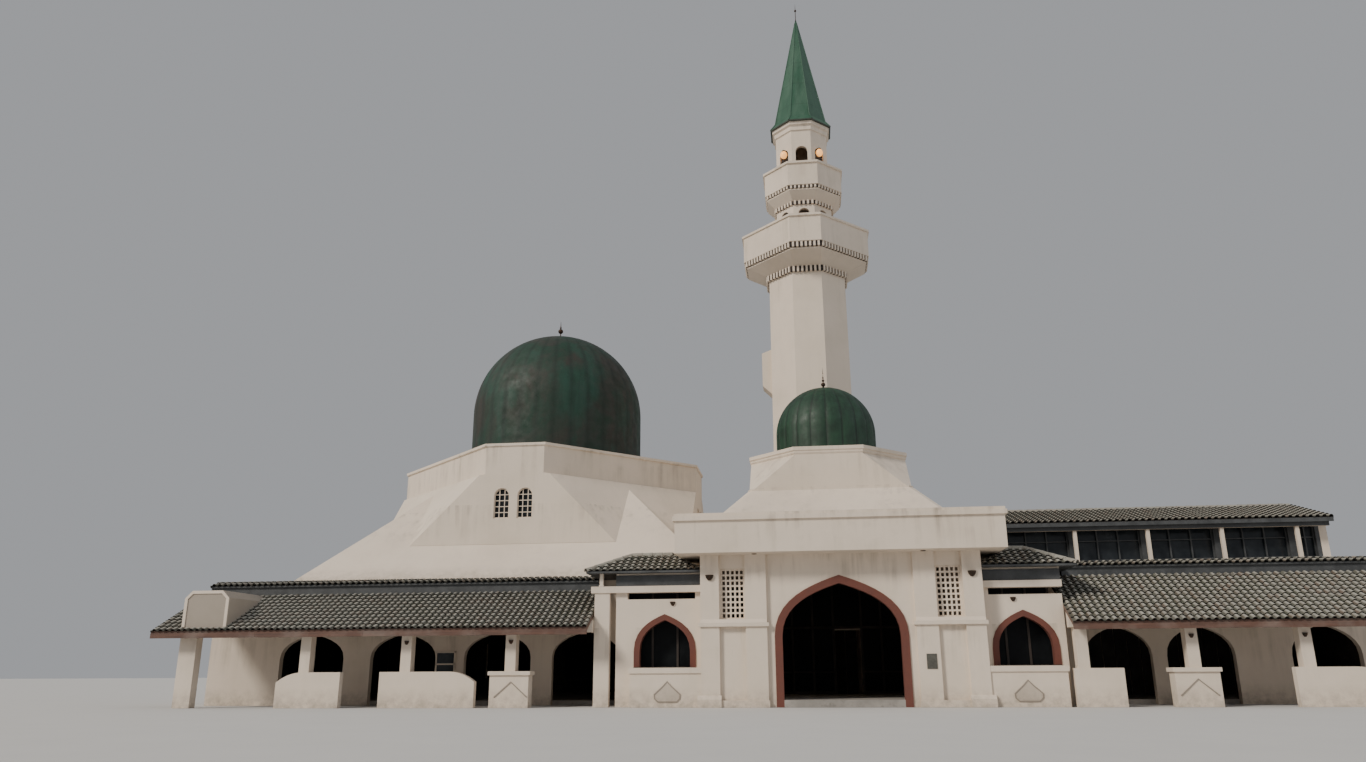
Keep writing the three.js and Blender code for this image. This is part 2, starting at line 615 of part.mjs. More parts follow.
add("minaret_spire", loft([
  octagon(SPIRE.lip, SHAFT.side, LANTERN.cornice + GAP),
  octagon(SPIRE.lip, SHAFT.side, LANTERN.cornice + 50),
  octagon(SPIRE.half, SHAFT.side, LANTERN.cornice + 380),
  octagon(28, SHAFT.side, SPIRE.top),
]), domeGreen, minaret);
add("minaret_rod", turned([[0, SPIRE.top + GAP], [22, SPIRE.top + GAP], [18, SPIRE.ball - 60],
  [48, SPIRE.ball - 38], [58, SPIRE.ball], [48, SPIRE.ball + 38], [16, SPIRE.ball + 60],
  [0, SPIRE.rod]], 10), metal, minaret);

// Arcades
function roofHeight(y, slope) {
  return EAVE.z + (y - EAVE.front) * slope;
}

function leanTo(x0, x1, slope) {
  const back = HALL_FRONT - GAP;
  const top = roofHeight(back, slope);
  const { front, z, slab } = EAVE;
  return alongX(outline([[front, z - slab], [back, top - slab], [back, top], [front, z]]), x0, x1);
}

// All that lies under the top face of a lean-to roof, for cutting what stands on it
function belowRoof(x0, x1, slope) {
  const near = -2000;
  const far = 4000;
  return alongX(outline([[near, 1000], [far, 1000], [far, roofHeight(far, slope) + GAP],
    [near, roofHeight(near, slope) + GAP]]), x0, x1);
}

// A dark band with a course of tiles on top, along the wall above the lean-to roof
function upperEave(x0, x1, slope, top) {
  const { face, out, tiles } = UPPER_EAVE;
  const back = HALL_FRONT - GAP;
  const low = top - tiles;
  return alongX(outline([[face, roofHeight(face, slope) + GAP], [back, roofHeight(back, slope) + GAP],
    [back, top], [face - out, low + 60], [face - out, low], [face, low]]), x0, x1);
}

// A low wall whose top sinks in a curve at one end or at both
function lowWall(x0, x1, sinkLeft, sinkRight) {
  const { top, y0, y1 } = LOW_WALL;
  const run = 900;
  const fall = 320;
  const shape = new THREE.Shape();
  shape.moveTo(x0, 0);
  shape.lineTo(x1, 0);
  if (sinkRight) {
    shape.lineTo(x1, top - fall);
    shape.quadraticCurveTo(x1 - run * 0.45, top, x1 - run, top);
  } else {
    shape.lineTo(x1, top);
  }
  if (sinkLeft) {
    shape.lineTo(x0 + run, top);
    shape.quadraticCurveTo(x0 + run * 0.45, top, x0, top - fall);
  } else {
    shape.lineTo(x0, top);
  }
  shape.closePath();
  return alongY(shape, y0, y1);
}

function pedestal(x) {
  const { top, y0, back, coping, out, half } = LOW_WALL;
  return [
    box(x - half, x + half, y0, back, 0, top - coping + 1),
    box(x - half - out, x + half + out, y0 - out, back + out, top - coping, top),
  ];
}

// Columns on low walls, under one beam; the beam's top follows the roof
function colonnade(wing, x0, x1, walls) {
  const { y0, y1, z0 } = BEAM;
  const under = (y) => roofHeight(y, wing.slope) - EAVE.slab - GAP;
  const beam = alongX(outline([[y0, z0], [y1, z0], [y1, under(y1)], [y0, under(y0)]]), x0, x1);
  const columns = wing.columns.map((x) => box(x - COLUMN / 2, x + COLUMN / 2, 0, COLUMN, 0, z0 + 1));
  return join(beam, ...columns, ...walls);
}
add("left_arcade_columns", colonnade(LEFT_WING, -22200, -LINK_PILLAR[1] - GAP, [
  box(END_PIER.x0, END_PIER.x1, 0, COLUMN, 0, BEAM.z0 + 1),
  lowWall(-18500, -16300, true, false),
  lowWall(-14950, -11750, false, true),
  ...pedestal(-10600),
]), plaster);
add("right_arcade_columns", colonnade(RIGHT_WING, RIGHT_WING.from, RIGHT_END, [
  lowWall(6870, 8300, false, false),
  ...pedestal(10350),
  lowWall(13100, 15700, false, true),
]), plaster);
add("left_arcade_roof", leanTo(LEFT_WING.from, LEFT_WING.to, LEFT_WING.slope), tile);
add("right_arcade_roof", leanTo(RIGHT_WING.from, RIGHT_WING.to, RIGHT_WING.slope), tile);
add("left_upper_eave", upperEave(HALL_LEFT, -LINK_ROOF.x1 - GAP, LEFT_WING.slope, UPPER_EAVE.left),
  darkBoard);
add("right_upper_eave", upperEave(RIGHT_LINK_EAVE + GAP, RIGHT_END, RIGHT_WING.slope, UPPER_EAVE.right),
  darkBoard);

// A chamfered gable that stands on the left end of the arcade roof
function endGable() {
  const { x0, x1, y0, top, chamfer, shell } = GABLE;
  const back = UPPER_EAVE.face - UPPER_EAVE.out - GAP;
  const body = alongY(outline([[x0, 2000], [x1, 2000], [x1, top - chamfer], [x1 - chamfer, top],
    [x0 + chamfer, top], [x0, top - chamfer]]), y0, back);
  const inside = box(x0 + shell, x1 - shell, y0 + shell, back - shell, 1900, top - chamfer - shell);
  return cut(body, inside, belowRoof(x0 - 10, x1 + 10, LEFT_WING.slope));
}
add("left_end_gable", endGable(), plaster);

// Links; each is drawn on the right of the porch
function linkWall(end, pillar, beamEnd) {
  const x0 = PORCH.half + GAP;
  const { y0, y1, centre } = LINK;
  const parts = [
    box(x0, end, y0, y1, 0, LINK_ROOF.eave - GAP),
    box(end - WALL, end, y1 - 1, HALL_FRONT - GAP, 0, LINK_SLOT.z0),
    box(x0, beamEnd, y0 - LINK_BEAM.out, y0 + 100, LINK_BEAM.z0, LINK_BEAM.z1),
    box(x0 + PLINTH.out, PLANTER.x1, PLANTER.y0, y0 + 1, 0, PLINTH.top + 2),
    box(x0, PLANTER.x1, PLANTER.y0, y0 + 1, PLINTH.top + GAP, PLANTER.top - PLANTER.cap + 1),
    box(x0, PLANTER.x1 + PLANTER.out, PLANTER.y0 - PLANTER.out, y0 + 1,
      PLANTER.top - PLANTER.cap, PLANTER.top),
  ];
  if (pillar) {
    parts.push(box(pillar[0], pillar[1], y0 - 100, y0 + 150, 0, LINK_BEAM.z0 + 1));
  }
  const { outer, sill, spring, apex } = LINK_ARCH;
  return cut(
    join(...parts),
    box(LINK_SLOT.x0, LINK_SLOT.x1, y0 - 50, y1 + 1, LINK_SLOT.z0, LINK_SLOT.z1),
    alongY(pointedArch(centre, outer + GAP, sill, spring, apex + GAP), y0 - 1, y1 + 1),
  );
}

function linkTrim() {
  const { inner, outer, sill, spring, apex, band } = LINK_ARCH;
  const { y0, y1, centre } = LINK;
  return cut(
    alongY(pointedArch(centre, outer, sill + GAP, spring, apex), y0 - 30, y1),
    alongY(pointedArch(centre, inner, sill - 10, spring, apex - band), y0 - 50, y1 + 20),
  );
}

// A hipped roof that sinks towards the porch, so that it passes under the soffit
function linkRoof(x1) {
  const { x0, front, eave, ridge, edge, shell } = LINK_ROOF;
  const back = HALL_FRONT - GAP;
  const middle = 1500;
  const near = x0 + 1100;
  const far = x1 - 1300;
  const low = [[x0, front], [x1, front], [x1, back], [x0, back]];
  const level = (z) => low.map(([x, y]) => new THREE.Vector3(x, y, z));
  const top = [[near, middle - 60], [far, middle - 60], [far, middle + 60], [near, middle + 60]];
  const body = loft([level(eave), level(eave + edge), top.map(([x, y]) => new THREE.Vector3(x, y, ridge))]);
  const inner = low.map(([x, y]) => new THREE.Vector3(
    x === x0 ? x0 + 400 : x1 - 500,
    y === front ? front + 500 : back - 300,
    eave - 10,
  ));
  const innerTop = top.map(([x, y]) => new THREE.Vector3(x, y, ridge - shell));
  return cut(body, loft([inner, innerTop]));
}

add("left_link_wall", mirrored(linkWall(LINK.end, LINK_PILLAR, LINK_BEAM.end)), plaster);
add("left_link_arch_trim", mirrored(linkTrim()), terracotta);
add("left_link_roof", mirrored(linkRoof(LINK_ROOF.x1)), tile);
const rightLinkEnd = RIGHT_WING.from - GAP;
add("right_link_wall", linkWall(rightLinkEnd, null, rightLinkEnd), plaster);
add("right_link_arch_trim", linkTrim(), terracotta);
add("right_link_roof", cut(
  linkRoof(RIGHT_LINK_EAVE),
  belowRoof(RIGHT_WING.from - GAP, RIGHT_LINK_EAVE + 10, RIGHT_WING.slope),
), tile);

// Block behind the right arcade
const blockInner = [BLOCK.left + WALL, RIGHT_END - WALL];
add("right_arcade_back_wall", cut(
  box(BLOCK.left, RIGHT_END, HALL_FRONT, HALL_FRONT + WALL, 0, BLOCK.slab[0] - GAP),
  ...arches(BLOCK_ARCHES, BLOCK_ARCH, -1, HALL_FRONT - 1, HALL_FRONT + WALL + 1),
), plaster);

function roofUnder(y) {
  const rise = (BLOCK_ROOF.top - BLOCK_ROOF.z) / (BLOCK_ROOF.ridge - BLOCK_ROOF.eave);
  const run = BLOCK_ROOF.ridge - BLOCK_ROOF.eave - Math.abs(BLOCK_ROOF.ridge - y);
  return BLOCK_ROOF.z - BLOCK_ROOF.slab + run * rise - GAP;
}

// Side and rear walls of the block, with a gable at each end
function blockWalls() {
  const { left, front, back, slab } = BLOCK;
  const low = HALL_FRONT + WALL + GAP;
  const { ridge } = BLOCK_ROOF;
  const gable = outline([[low, 0], [back, 0], [back, roofUnder(back)], [ridge, roofUnder(ridge)],
    [front, roofUnder(front)], [front, slab[1]], [low, slab[1]]]);
  return join(
    alongX(gable, left, left + WALL),
    alongX(gable, RIGHT_END - WALL, RIGHT_END),
    box(left + 1, RIGHT_END - 1, back - WALL, back, 0, roofUnder(back)),
  );
}
add("right_block_walls", blockWalls(), plaster);
add("right_block_floor", box(blockInner[0] + GAP, blockInner[1] - GAP, HALL_FRONT + WALL + GAP,
  BLOCK.back - WALL - GAP, 0, 150), concrete);
add("right_block_slab", box(blockInner[0] + GAP, blockInner[1] - GAP, HALL_FRONT, BLOCK.back - WALL - GAP,
  ...BLOCK.slab), concrete);

const mullions = [0, 1, 2, 3, 4].map((i) => STRIP.first + i * STRIP.bay);
function blockFront() {
  const wall = box(blockInner[0] + GAP, blockInner[1] - GAP, BLOCK.front, BLOCK.front + 200,
    BLOCK.slab[1] + GAP, roofUnder(BLOCK.front));
  const edges = [blockInner[0], ...mullions, blockInner[1]];
  const holes = edges.slice(1).map((x, i) => box(edges[i] + STRIP.mullion, x - STRIP.mullion,
    BLOCK.front - 1, BLOCK.front + 201, STRIP.sill, STRIP.head));
  return cut(wall, ...holes);
}
add("right_block_front", blockFront(), plaster);
add("right_block_glass", box(blockInner[0] + 50, blockInner[1] - 50, BLOCK.front + 200 + GAP,
  BLOCK.front + 220 + GAP, STRIP.sill - 60, STRIP.head + 60), glass);

// Slim posts under the eave, joined by a rail
function blockPosts() {
  const { half, y0, y1, beam } = POST;
  const low = BLOCK.slab[1] + GAP;
  const posts = mullions.slice(1).map((x) => box(x - half, x + half, y0, y1, low, beam + 1));
  const rail = box(blockInner[0], RIGHT_END - 100, y0 - 20, y1 + 20, beam, roofUnder(y0 - 20));
  return join(rail, ...posts);
}
add("right_block_posts", blockPosts(), plaster);

function blockRoof() {
  const { eave, z, ridge, top, slab } = BLOCK_ROOF;
  const far = 2 * ridge - eave;
  return alongX(outline([[eave, z - slab], [ridge, top - slab], [far, z - slab], [far, z], [ridge, top],
    [eave, z]]), BLOCK.left, RIGHT_END);
}
add("right_block_roof", blockRoof(), tile);

const part = new THREE.Group();
building.position.set(-(LEFT_END + RIGHT_END) / 2, -(FRONT_END + BACK_END) / 2, 0);
part.add(building);

export default part;
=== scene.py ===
"""Finishes and small parts of a white plastered mosque, built around its solid model. Metres.

Drafts are drawn with x = 0 on the porch's middle and y = 0 on its front face, as the solids are;
Draft.piece moves them to the part's own middle.
"""
import math
import random

import bmesh
import bpy
from bpy.props import FloatProperty, FloatVectorProperty, IntProperty, PointerProperty
from bpy.types import Operator, Panel, PropertyGroup
from mathutils import Matrix, Vector, noise


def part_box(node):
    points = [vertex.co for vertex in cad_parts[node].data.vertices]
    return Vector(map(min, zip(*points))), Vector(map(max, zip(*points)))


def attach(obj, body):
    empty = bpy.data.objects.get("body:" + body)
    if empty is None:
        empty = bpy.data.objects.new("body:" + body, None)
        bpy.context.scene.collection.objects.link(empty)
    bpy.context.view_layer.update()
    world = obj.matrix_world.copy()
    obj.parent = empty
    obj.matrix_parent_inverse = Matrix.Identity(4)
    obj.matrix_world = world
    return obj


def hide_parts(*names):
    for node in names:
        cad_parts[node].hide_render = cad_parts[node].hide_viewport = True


bl_info = {
    "name": "Mosque Finishes",
    "version": (1, 0, 0),
    "blender": (4, 5, 0),
    "location": "View3D > Sidebar > Mosque",
    "description": "Tiles, domes, trim and finishes of a white plastered mosque",
    "category": "Object",
}

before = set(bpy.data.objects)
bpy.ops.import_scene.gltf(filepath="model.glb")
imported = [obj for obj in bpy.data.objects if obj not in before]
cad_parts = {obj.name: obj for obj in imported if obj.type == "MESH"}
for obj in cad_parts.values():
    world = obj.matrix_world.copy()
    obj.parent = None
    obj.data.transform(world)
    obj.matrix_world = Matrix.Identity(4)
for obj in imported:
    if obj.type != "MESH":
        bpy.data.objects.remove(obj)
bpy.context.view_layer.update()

CANOPY_LOW, CANOPY_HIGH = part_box("porch_canopy")
CANOPY_REACH = 0.73
PORCH_PLACE = Vector(((CANOPY_LOW.x + CANOPY_HIGH.x) / 2, CANOPY_LOW.y + CANOPY_REACH, 0.0))

# Places that the small parts hang on, from the porch's middle and front face
LEFT_END, RIGHT_END = -22.9, 16.9
EAVE_FRONT, EAVE_TOP = -0.45, 2.47
UPPER_EAVE_FACE = 2.25
HALL_FRONT = 2.65
HALL_AXIS = (-11.95, 10.45)
DRUM_HALF = 6.41
PORCH_TOP_AXIS = (-0.095, 4.8)
MINARET_AXIS = (-0.48, 11.25)
MINARET_FOOT_INSIDE = 1.5
LINK_ROOF_LEVELS = (4.25, 4.85)

# Both ends and the slope of each arcade's roof
LEFT_ROOF = (LEFT_END, -8.0, 0.485)
RIGHT_ROOF = (6.87, RIGHT_END, 0.58)

# The length of an octagon's straight side, as a share of its half width
SHAFT_SIDE = 0.38
LOWER_SIDE = 0.24

# Middles of the hall's low arches in its rear and its left wall
REAR_ARCHES = (-19.7, -15.7, -11.7, -7.7)
SIDE_ARCHES = (5.4, 9.4, 13.4)

# How far the edges of sawn boards are eased
EASED = 0.004


def colour(name, text, default):
    return FloatVectorProperty(name=name, description=text, subtype="COLOR", size=3,
                               min=0.0, max=1.0, default=default)


def length(name, text, default):
    return FloatProperty(name=name, description=text, unit="LENGTH", min=0.0, default=default)


class MosqueColours(PropertyGroup):
    plaster: colour("Plaster", "Painted plaster of walls and roofs", (0.77, 0.665, 0.55))
    plaster_worn: colour("Worn plaster", "Plaster where rain and dust have stained it", (0.56, 0.475, 0.375))
    plaster_dirt: colour("Plaster dirt", "Streaks below copings and at the walls' foot", (0.19, 0.15, 0.108))
    terracotta: colour("Terracotta", "Trim round the arches", (0.13, 0.044, 0.031))
    tile: colour("Roof tile", "Weathered clay tile", (0.15, 0.145, 0.122))
    # Pale tile: weathering of the crowns, and also painted highlight on them
    tile_pale_and_highlight: colour("Bleached tile", "Crowns of the tiles' rolls", (0.42, 0.405, 0.35))
    tile_brown: colour("Brown tile", "Tiles that kept their clay colour", (0.15, 0.108, 0.082))
    # Moss colour: moss in the valleys, and also painted shade there
    moss_and_shade: colour("Moss", "Moss in the tiles' valleys", (0.055, 0.062, 0.035))
    timber: colour("Timber", "Eave boards", (0.135, 0.07, 0.05))
    # Dark timber: real door frames, and also painted shade behind the dentils and louvres and inside the
    # rooms behind openings
    timber_dark_and_shade: colour("Dark timber", "Panelling, louvres and inner doors", (0.04, 0.03, 0.025))
    # Dark board: the window sashes, and also painted shade under the eaves and on the block's front wall
    board: colour("Dark board", "Painted bands under the upper eaves", (0.045, 0.048, 0.05))
    hall_dome: colour("Hall dome", "Weathered green of the large dome", (0.007, 0.034, 0.019))
    hall_dome_worn: colour("Worn dome", "Brown grey patches of the large dome", (0.030, 0.029, 0.022))
    porch_dome: colour("Porch dome", "Green of the small dome", (0.009, 0.039, 0.019))
    spire: colour("Spire", "Green of the spire", (0.024, 0.092, 0.052))
    spire_pale: colour("Pale spire", "Chalked paint on the spire", (0.055, 0.130, 0.084))
    metal: colour("Metal", "Finials and lamp bodies", (0.035, 0.028, 0.022))
    concrete: colour("Concrete", "Floors and flat roofs", (0.36, 0.335, 0.30))
    lamp: colour("Lamp", "Glow of the lamps", (1.0, 0.47, 0.14))
    floor: colour("Floor", "Studio floor", (0.60, 0.59, 0.57))


class MosqueTiles(PropertyGroup):
    pitch: length("Pitch", "Width of one tile", 0.22)
    gauge: length("Gauge", "Length of a tile that shows", 0.27)
    rise: length("Roll", "Height of a tile's roll", 0.066)
    lift: length("Lift", "Step from one course of tiles to the next", 0.045)
    sag: length("Sag", "How far a roof's surface wanders", 0.012)


class MosqueTrim(PropertyGroup):
    gores: IntProperty(name="Gores", description="Bulged strips of the small dome", default=20, min=8)
    gore_bulge: length("Bulge", "How far the small dome sinks at a seam", 0.03)
    dentil: length("Dentil", "Width of a dentil", 0.095)
    dentil_pitch: length("Dentil pitch", "Distance from one dentil to the next", 0.185)
    muntin: length("Muntin", "Width of a drum window's bars", 0.028)
    seam: length("Spire seam", "Radius of the rolls on the spire's corners", 0.03)


class Finish:
    """Builds one procedural material on the part's own coordinates, in metres."""

    def __init__(self, name, roughness):
        self.material = bpy.data.materials.new(name)
        self.material.use_nodes = True
        self.tree = self.material.node_tree
        self.sockets = self.tree.nodes["Principled BSDF"].inputs
        self.sockets["Roughness"].default_value = roughness
        self.place = self.node("ShaderNodeTexCoord").outputs["Object"]
        self.tone = None

    def node(self, kind, inputs=(), **settings):
        """Adds a node, with its settings and with the values or links of its inputs."""
        made = self.tree.nodes.new(kind)
        for key, value in settings.items():
            setattr(made, key, value)
        for key, value in dict(inputs).items():
            self.join(value, made.inputs[key])
        return made

    def join(self, value, socket):
        if isinstance(value, bpy.types.NodeSocket):
            self.tree.links.new(value, socket)
        elif isinstance(value, tuple) and socket.type == "RGBA":
            socket.default_value = (*value, 1.0)
        else:
            socket.default_value = value

    def stretched(self, *scale):
        return self.node("ShaderNodeMapping", {"Vector": self.place, "Scale": scale}).outputs["Vector"]

    def height(self):
        return self.node("ShaderNodeSeparateXYZ", {0: self.place}).outputs["Z"]

    def noise(self, scale, detail=4.0, roughness=0.6, at=None, distortion=0.0):
        return self.node("ShaderNodeTexNoise", {
            "Vector": at or self.place, "Scale": scale, "Detail": detail, "Roughness": roughness,
            "Distortion": distortion}).outputs["Fac"]

    def mark(self, name):
        return self.node("ShaderNodeAttribute", attribute_name=name).outputs["Fac"]

    def spread(self, value, low, high, to_low=0.0, to_high=1.0):
        """Maps the part of a value from low to high onto another range, and cuts off the rest."""
        ends = enumerate((value, low, high, to_low, to_high))
        return self.node("ShaderNodeMapRange", ends, clamp=True).outputs["Result"]

    def cloud(self, grain, low, high, to_low=0.0, to_high=1.0):
        """Patches: grain is a noise's scale, detail and roughness."""
        return self.spread(self.noise(*grain), low, high, to_low, to_high)

    def runs(self, across, down, low, high, share=1.0, detail=6.0, roughness=0.7, distortion=0.0):
        """Patches drawn out along the height."""
        streak = self.noise(1.0, detail, roughness, self.stretched(across, across, down), distortion)
        return self.spread(streak, low, high, 0.0, share)

    def calculate(self, kind, *values):
        return self.node("ShaderNodeMath", enumerate(values), operation=kind).outputs[0]

    def product(self, value, *others):
        for other in others:
            value = self.calculate("MULTIPLY", value, other)
        return value

    def layer(self, share, over, under=None):
        """Paints one colour over another, or over what is painted already, by a share."""
        mix = self.node("ShaderNodeMix", {"Factor": share, 6: under or self.tone, 7: over}, data_type="RGBA")
        self.tone = mix.outputs[2]
        self.join(self.tone, self.sockets["Base Color"])

    def roughen(self, value, smooth, rough, low=0.3, high=0.7):
        self.join(self.spread(value, low, high, smooth, rough), self.sockets["Roughness"])

    def bump(self, height, distance, strength):
        bump = self.node("ShaderNodeBump", {"Height": height, "Distance": distance, "Strength": strength})
        self.join(bump.outputs["Normal"], self.sockets["Normal"])


def rgb(name):
    return tuple(getattr(bpy.context.scene.mosque_colours, name))


def shade(values, share):
    return tuple(v * share for v in values)


def plaster_finish(finish, tops=(), feet=(0.0,), streaks=0.55, depth=1.0):
    """Painted plaster: soft patches, streaks that run down from each top, splashes above each foot.

    A depth below one darkens the plaster all over; on the carved outlines it is painted shade.
    """
    clean, worn = shade(rgb("plaster"), depth), shade(rgb("plaster_worn"), depth)
    dirt = rgb("plaster_dirt")
    streak_length, splash_height, edge = 1.5, 0.65, 0.02
    grain = finish.noise(28.0, 5.0, 0.7)
    runs = finish.runs(3.4, 0.28, 0.46, 0.72, detail=5.0, roughness=0.6, distortion=0.25)
    drip = finish.cloud((0.8, 3.0), 0.42, 0.62, 0.08, 1.0)
    height = finish.height()
    finish.layer(finish.cloud((0.45, 5.0, 0.62), 0.42, 0.72, 0.0, 0.38), worn, clean)
    finish.layer(finish.spread(grain, 0.52, 0.85, 0.0, 0.2), worn)
    for top in tops:
        near = finish.spread(height, top - streak_length, top)
        under = finish.calculate("LESS_THAN", height, top + edge)
        finish.layer(finish.product(near, under, runs, drip, streaks), dirt)
    for foot in feet:
        near = finish.spread(height, foot, foot + splash_height, 1.0, 0.0)
        above = finish.calculate("GREATER_THAN", height, foot - edge)
        splash = finish.cloud((4.0, 6.0, 0.7), 0.38, 0.75, 0.1, 0.75)
        finish.layer(finish.product(near, above, splash), dirt)
    finish.layer(finish.product(runs, drip, 0.07), dirt)
    finish.roughen(grain, 0.78, 0.94, high=0.8)
    uneven = finish.calculate("ADD", finish.noise(2.2, 4.0), finish.product(grain, 0.35))
    finish.bump(uneven, 0.012, 0.6)


def stained_finish(finish, base, patches, shades, stains, gloss, grit):
    """Two shades of one colour in patches, and a darker shade in small stains."""
    patch = finish.noise(*patches)
    pale, dark, stain = (shade(base, share) for share in shades)
    finish.layer(finish.spread(patch, 0.35, 0.7), dark, pale)
    finish.layer(finish.cloud(*stains), stain)
    finish.roughen(patch, *gloss)
    finish.bump(finish.noise(grit[0], 5.0), grit[1], 0.6)


def terracotta_finish(finish):
    stained_finish(finish, rgb("terracotta"), (3.0, 6.0, 0.65), (1.0, 1.3, 0.35),
                   ((17.0, 4.0, 0.7), 0.60, 0.72, 0.0, 0.5), (0.68, 0.9), (35.0, 0.006))


def concrete_finish(finish):
    stained_finish(finish, rgb("concrete"), (0.9, 7.0, 0.68), (0.7, 1.2, 0.4),
                   ((5.0, 5.0, 0.7), 0.55, 0.72, 0.0, 0.6), (0.82, 0.96), (40.0, 0.004))


def tile_finish(finish):
    """Clay tiles: each has its own tone; the crowns are paler, partly weathering and partly painted
    highlight; the valleys are darker, partly moss and partly painted shade; the rolls' open ends are painted
    shade.
    """
    tone, crown, wear = finish.mark("tone"), finish.mark("crown"), finish.noise(5.0, 6.0, 0.7)
    # Painted highlight: the rolls' crowns are painted paler, partly weathering of the clay
    bleach_and_highlight = finish.product(finish.spread(crown, 0.35, 1.0), finish.spread(wear, 0.25, 0.6, 0.25, 1.0))
    valley = finish.spread(crown, 0.0, 0.5, 1.0, 0.0)
    # Painted shade: the valleys are painted darker in patches, partly moss
    damp_and_shade = finish.product(valley, finish.cloud((1.4, 5.0), 0.35, 0.62), 0.85)
    finish.layer(finish.spread(tone, 0.0, 1.0), rgb("tile_brown"), rgb("tile"))
    finish.layer(bleach_and_highlight, rgb("tile_pale_and_highlight"))
    finish.layer(damp_and_shade, rgb("moss_and_shade"))
    finish.layer(finish.cloud((45.0, 3.0, 0.6), 0.63, 0.72, 0.0, 0.5), shade(rgb("tile_pale_and_highlight"), 1.1))
    # Painted shade: the rolls' open ends and the eave course's undersides are painted near black
    finish.layer(finish.calculate("LESS_THAN", tone, OPEN_END / 2), (0.020, 0.018, 0.014))
    finish.roughen(wear, 0.7, 0.92)
    finish.bump(finish.noise(60.0, 4.0), 0.004, 0.7)


def timber_finish(finish, base, grain_scale):
    grain = finish.noise(3.0, 8.0, 0.7, finish.stretched(*grain_scale), 0.4)
    faded = shade((0.42, 0.36, 0.31), min(1.0, 3.0 * sum(base)))
    finish.layer(finish.spread(grain, 0.3, 0.7), shade(base, 1.25), shade(base, 0.55))
    finish.layer(finish.cloud((1.1, 4.0), 0.45, 0.75, 0.0, 0.45), faded)
    finish.roughen(grain, 0.6, 0.85)
    finish.bump(grain, 0.003, 0.8)


def eave_timber_finish(finish):
    timber_finish(finish, rgb("timber"), (0.35, 6.0, 6.0))


# Also worn as painted shade: dark sheets where only shade is seen
def timber_and_painted_shade_finish(finish):
    timber_finish(finish, rgb("timber_dark_and_shade"), (6.0, 6.0, 0.35))


# Also worn as painted shade: near-black bands where shadow falls
def dark_board_and_shade_finish(finish):
    base, dust = rgb("board"), finish.noise(2.0, 6.0, 0.65)
    finish.layer(finish.spread(dust, 0.4, 0.75, 0.0, 0.8), shade(base, 2.4), base)
    finish.roughen(dust, 0.42, 0.72)
    finish.bump(finish.noise(30.0, 3.0), 0.002, 0.4)


def hall_dome_finish(finish):
    """Weathered coating: green and brown grey patches, long runs and faint upright seams."""
    green = rgb("hall_dome")
    patches = finish.noise(0.34, 7.0, 0.62, distortion=0.7)
    teal = finish.noise(0.6, 5.0, 0.6, finish.stretched(1.0, 1.0, 0.45))
    finish.layer(finish.spread(patches, 0.40, 0.54), rgb("hall_dome_worn"), green)
    finish.layer(finish.spread(teal, 0.52, 0.66, 0.0, 0.7), (0.009, 0.058, 0.037))
    finish.layer(finish.runs(3.2, 0.2, 0.52, 0.76, 0.5), shade(green, 0.35))
    finish.layer(finish.spread(finish.mark("seam"), 0.0, 1.0, 0.0, 0.55), shade(green, 0.35))
    finish.layer(finish.cloud((14.0, 4.0, 0.7), 0.60, 0.8, 0.0, 0.35), (0.075, 0.10, 0.08))
    finish.roughen(finish.noise(2.5, 5.0), 0.56, 0.8)
    finish.bump(finish.noise(9.0, 5.0), 0.01, 0.5)


def porch_dome_finish(finish):
    green = rgb("porch_dome")
    finish.layer(finish.cloud((1.6, 6.0, 0.65), 0.36, 0.68), shade(green, 1.35), shade(green, 0.62))
    finish.layer(finish.runs(8.0, 0.5, 0.50, 0.72, 0.6), (0.018, 0.074, 0.037))
    finish.layer(finish.spread(finish.mark("seam"), 0.2, 1.0, 0.0, 0.85), shade(green, 0.3))
    finish.roughen(finish.noise(4.0, 5.0), 0.48, 0.7)
    finish.bump(finish.noise(14.0, 5.0), 0.006, 0.5)


def spire_finish(finish):
    """Painted sheet: chalked patches and streaks, level joints a good metre apart, and painted shade that
    darkens the lip.
    """
    green, half_joint_pitch, lip_foot, lip_head = rgb("spire"), 0.65, 26.25, 26.30
    patch, height = finish.runs(1.6, 0.3, 0.42, 0.66, roughness=0.65), finish.height()
    joint = finish.calculate("PINGPONG", height, half_joint_pitch)
    finish.layer(patch, rgb("spire_pale"), green)
    finish.layer(finish.runs(7.0, 0.4, 0.50, 0.72, 0.55), shade(green, 0.5))
    finish.layer(finish.spread(joint, 0.0, 0.018, 0.6, 0.0), shade(green, 0.3))
    # Painted shade: the lip is painted dark brown grey up to 26.25 m, fading out by 26.3 m
    finish.layer(finish.spread(height, lip_foot, lip_head, 0.85, 0.0), (0.035, 0.036, 0.027))
    finish.roughen(patch, 0.45, 0.68, 0.0, 1.0)
    finish.bump(finish.noise(6.0, 4.0), 0.006, 0.4)


def filmed_finish(finish, film, tones, gloss, edge=0.35, bump=None, metallic=0.0, specular=0.5):
    """Two tones under one film of dust or rust, which also changes the gloss."""
    film = finish.noise(*film)
    finish.layer(finish.spread(film, edge, 0.7), tones[1], tones[0])
    finish.roughen(film, *gloss)
    finish.sockets["Metallic"].default_value = metallic
    finish.sockets["Specular IOR Level"].default_value = specular
    if bump:
        finish.bump(film, *bump)


def glass_finish(finish):
    filmed_finish(finish, (2.0, 5.0, 0.6), ((0.012, 0.016, 0.02), (0.035, 0.042, 0.048)), (0.08, 0.3),
                  specular=0.3)


def inner_glass_finish(finish):
    """Glass deep in shade, which throws back almost nothing."""
    filmed_finish(finish, (2.0, 5.0, 0.6), ((0.004, 0.005, 0.006), (0.010, 0.012, 0.014)), (0.4, 0.6),
                  specular=0.12)


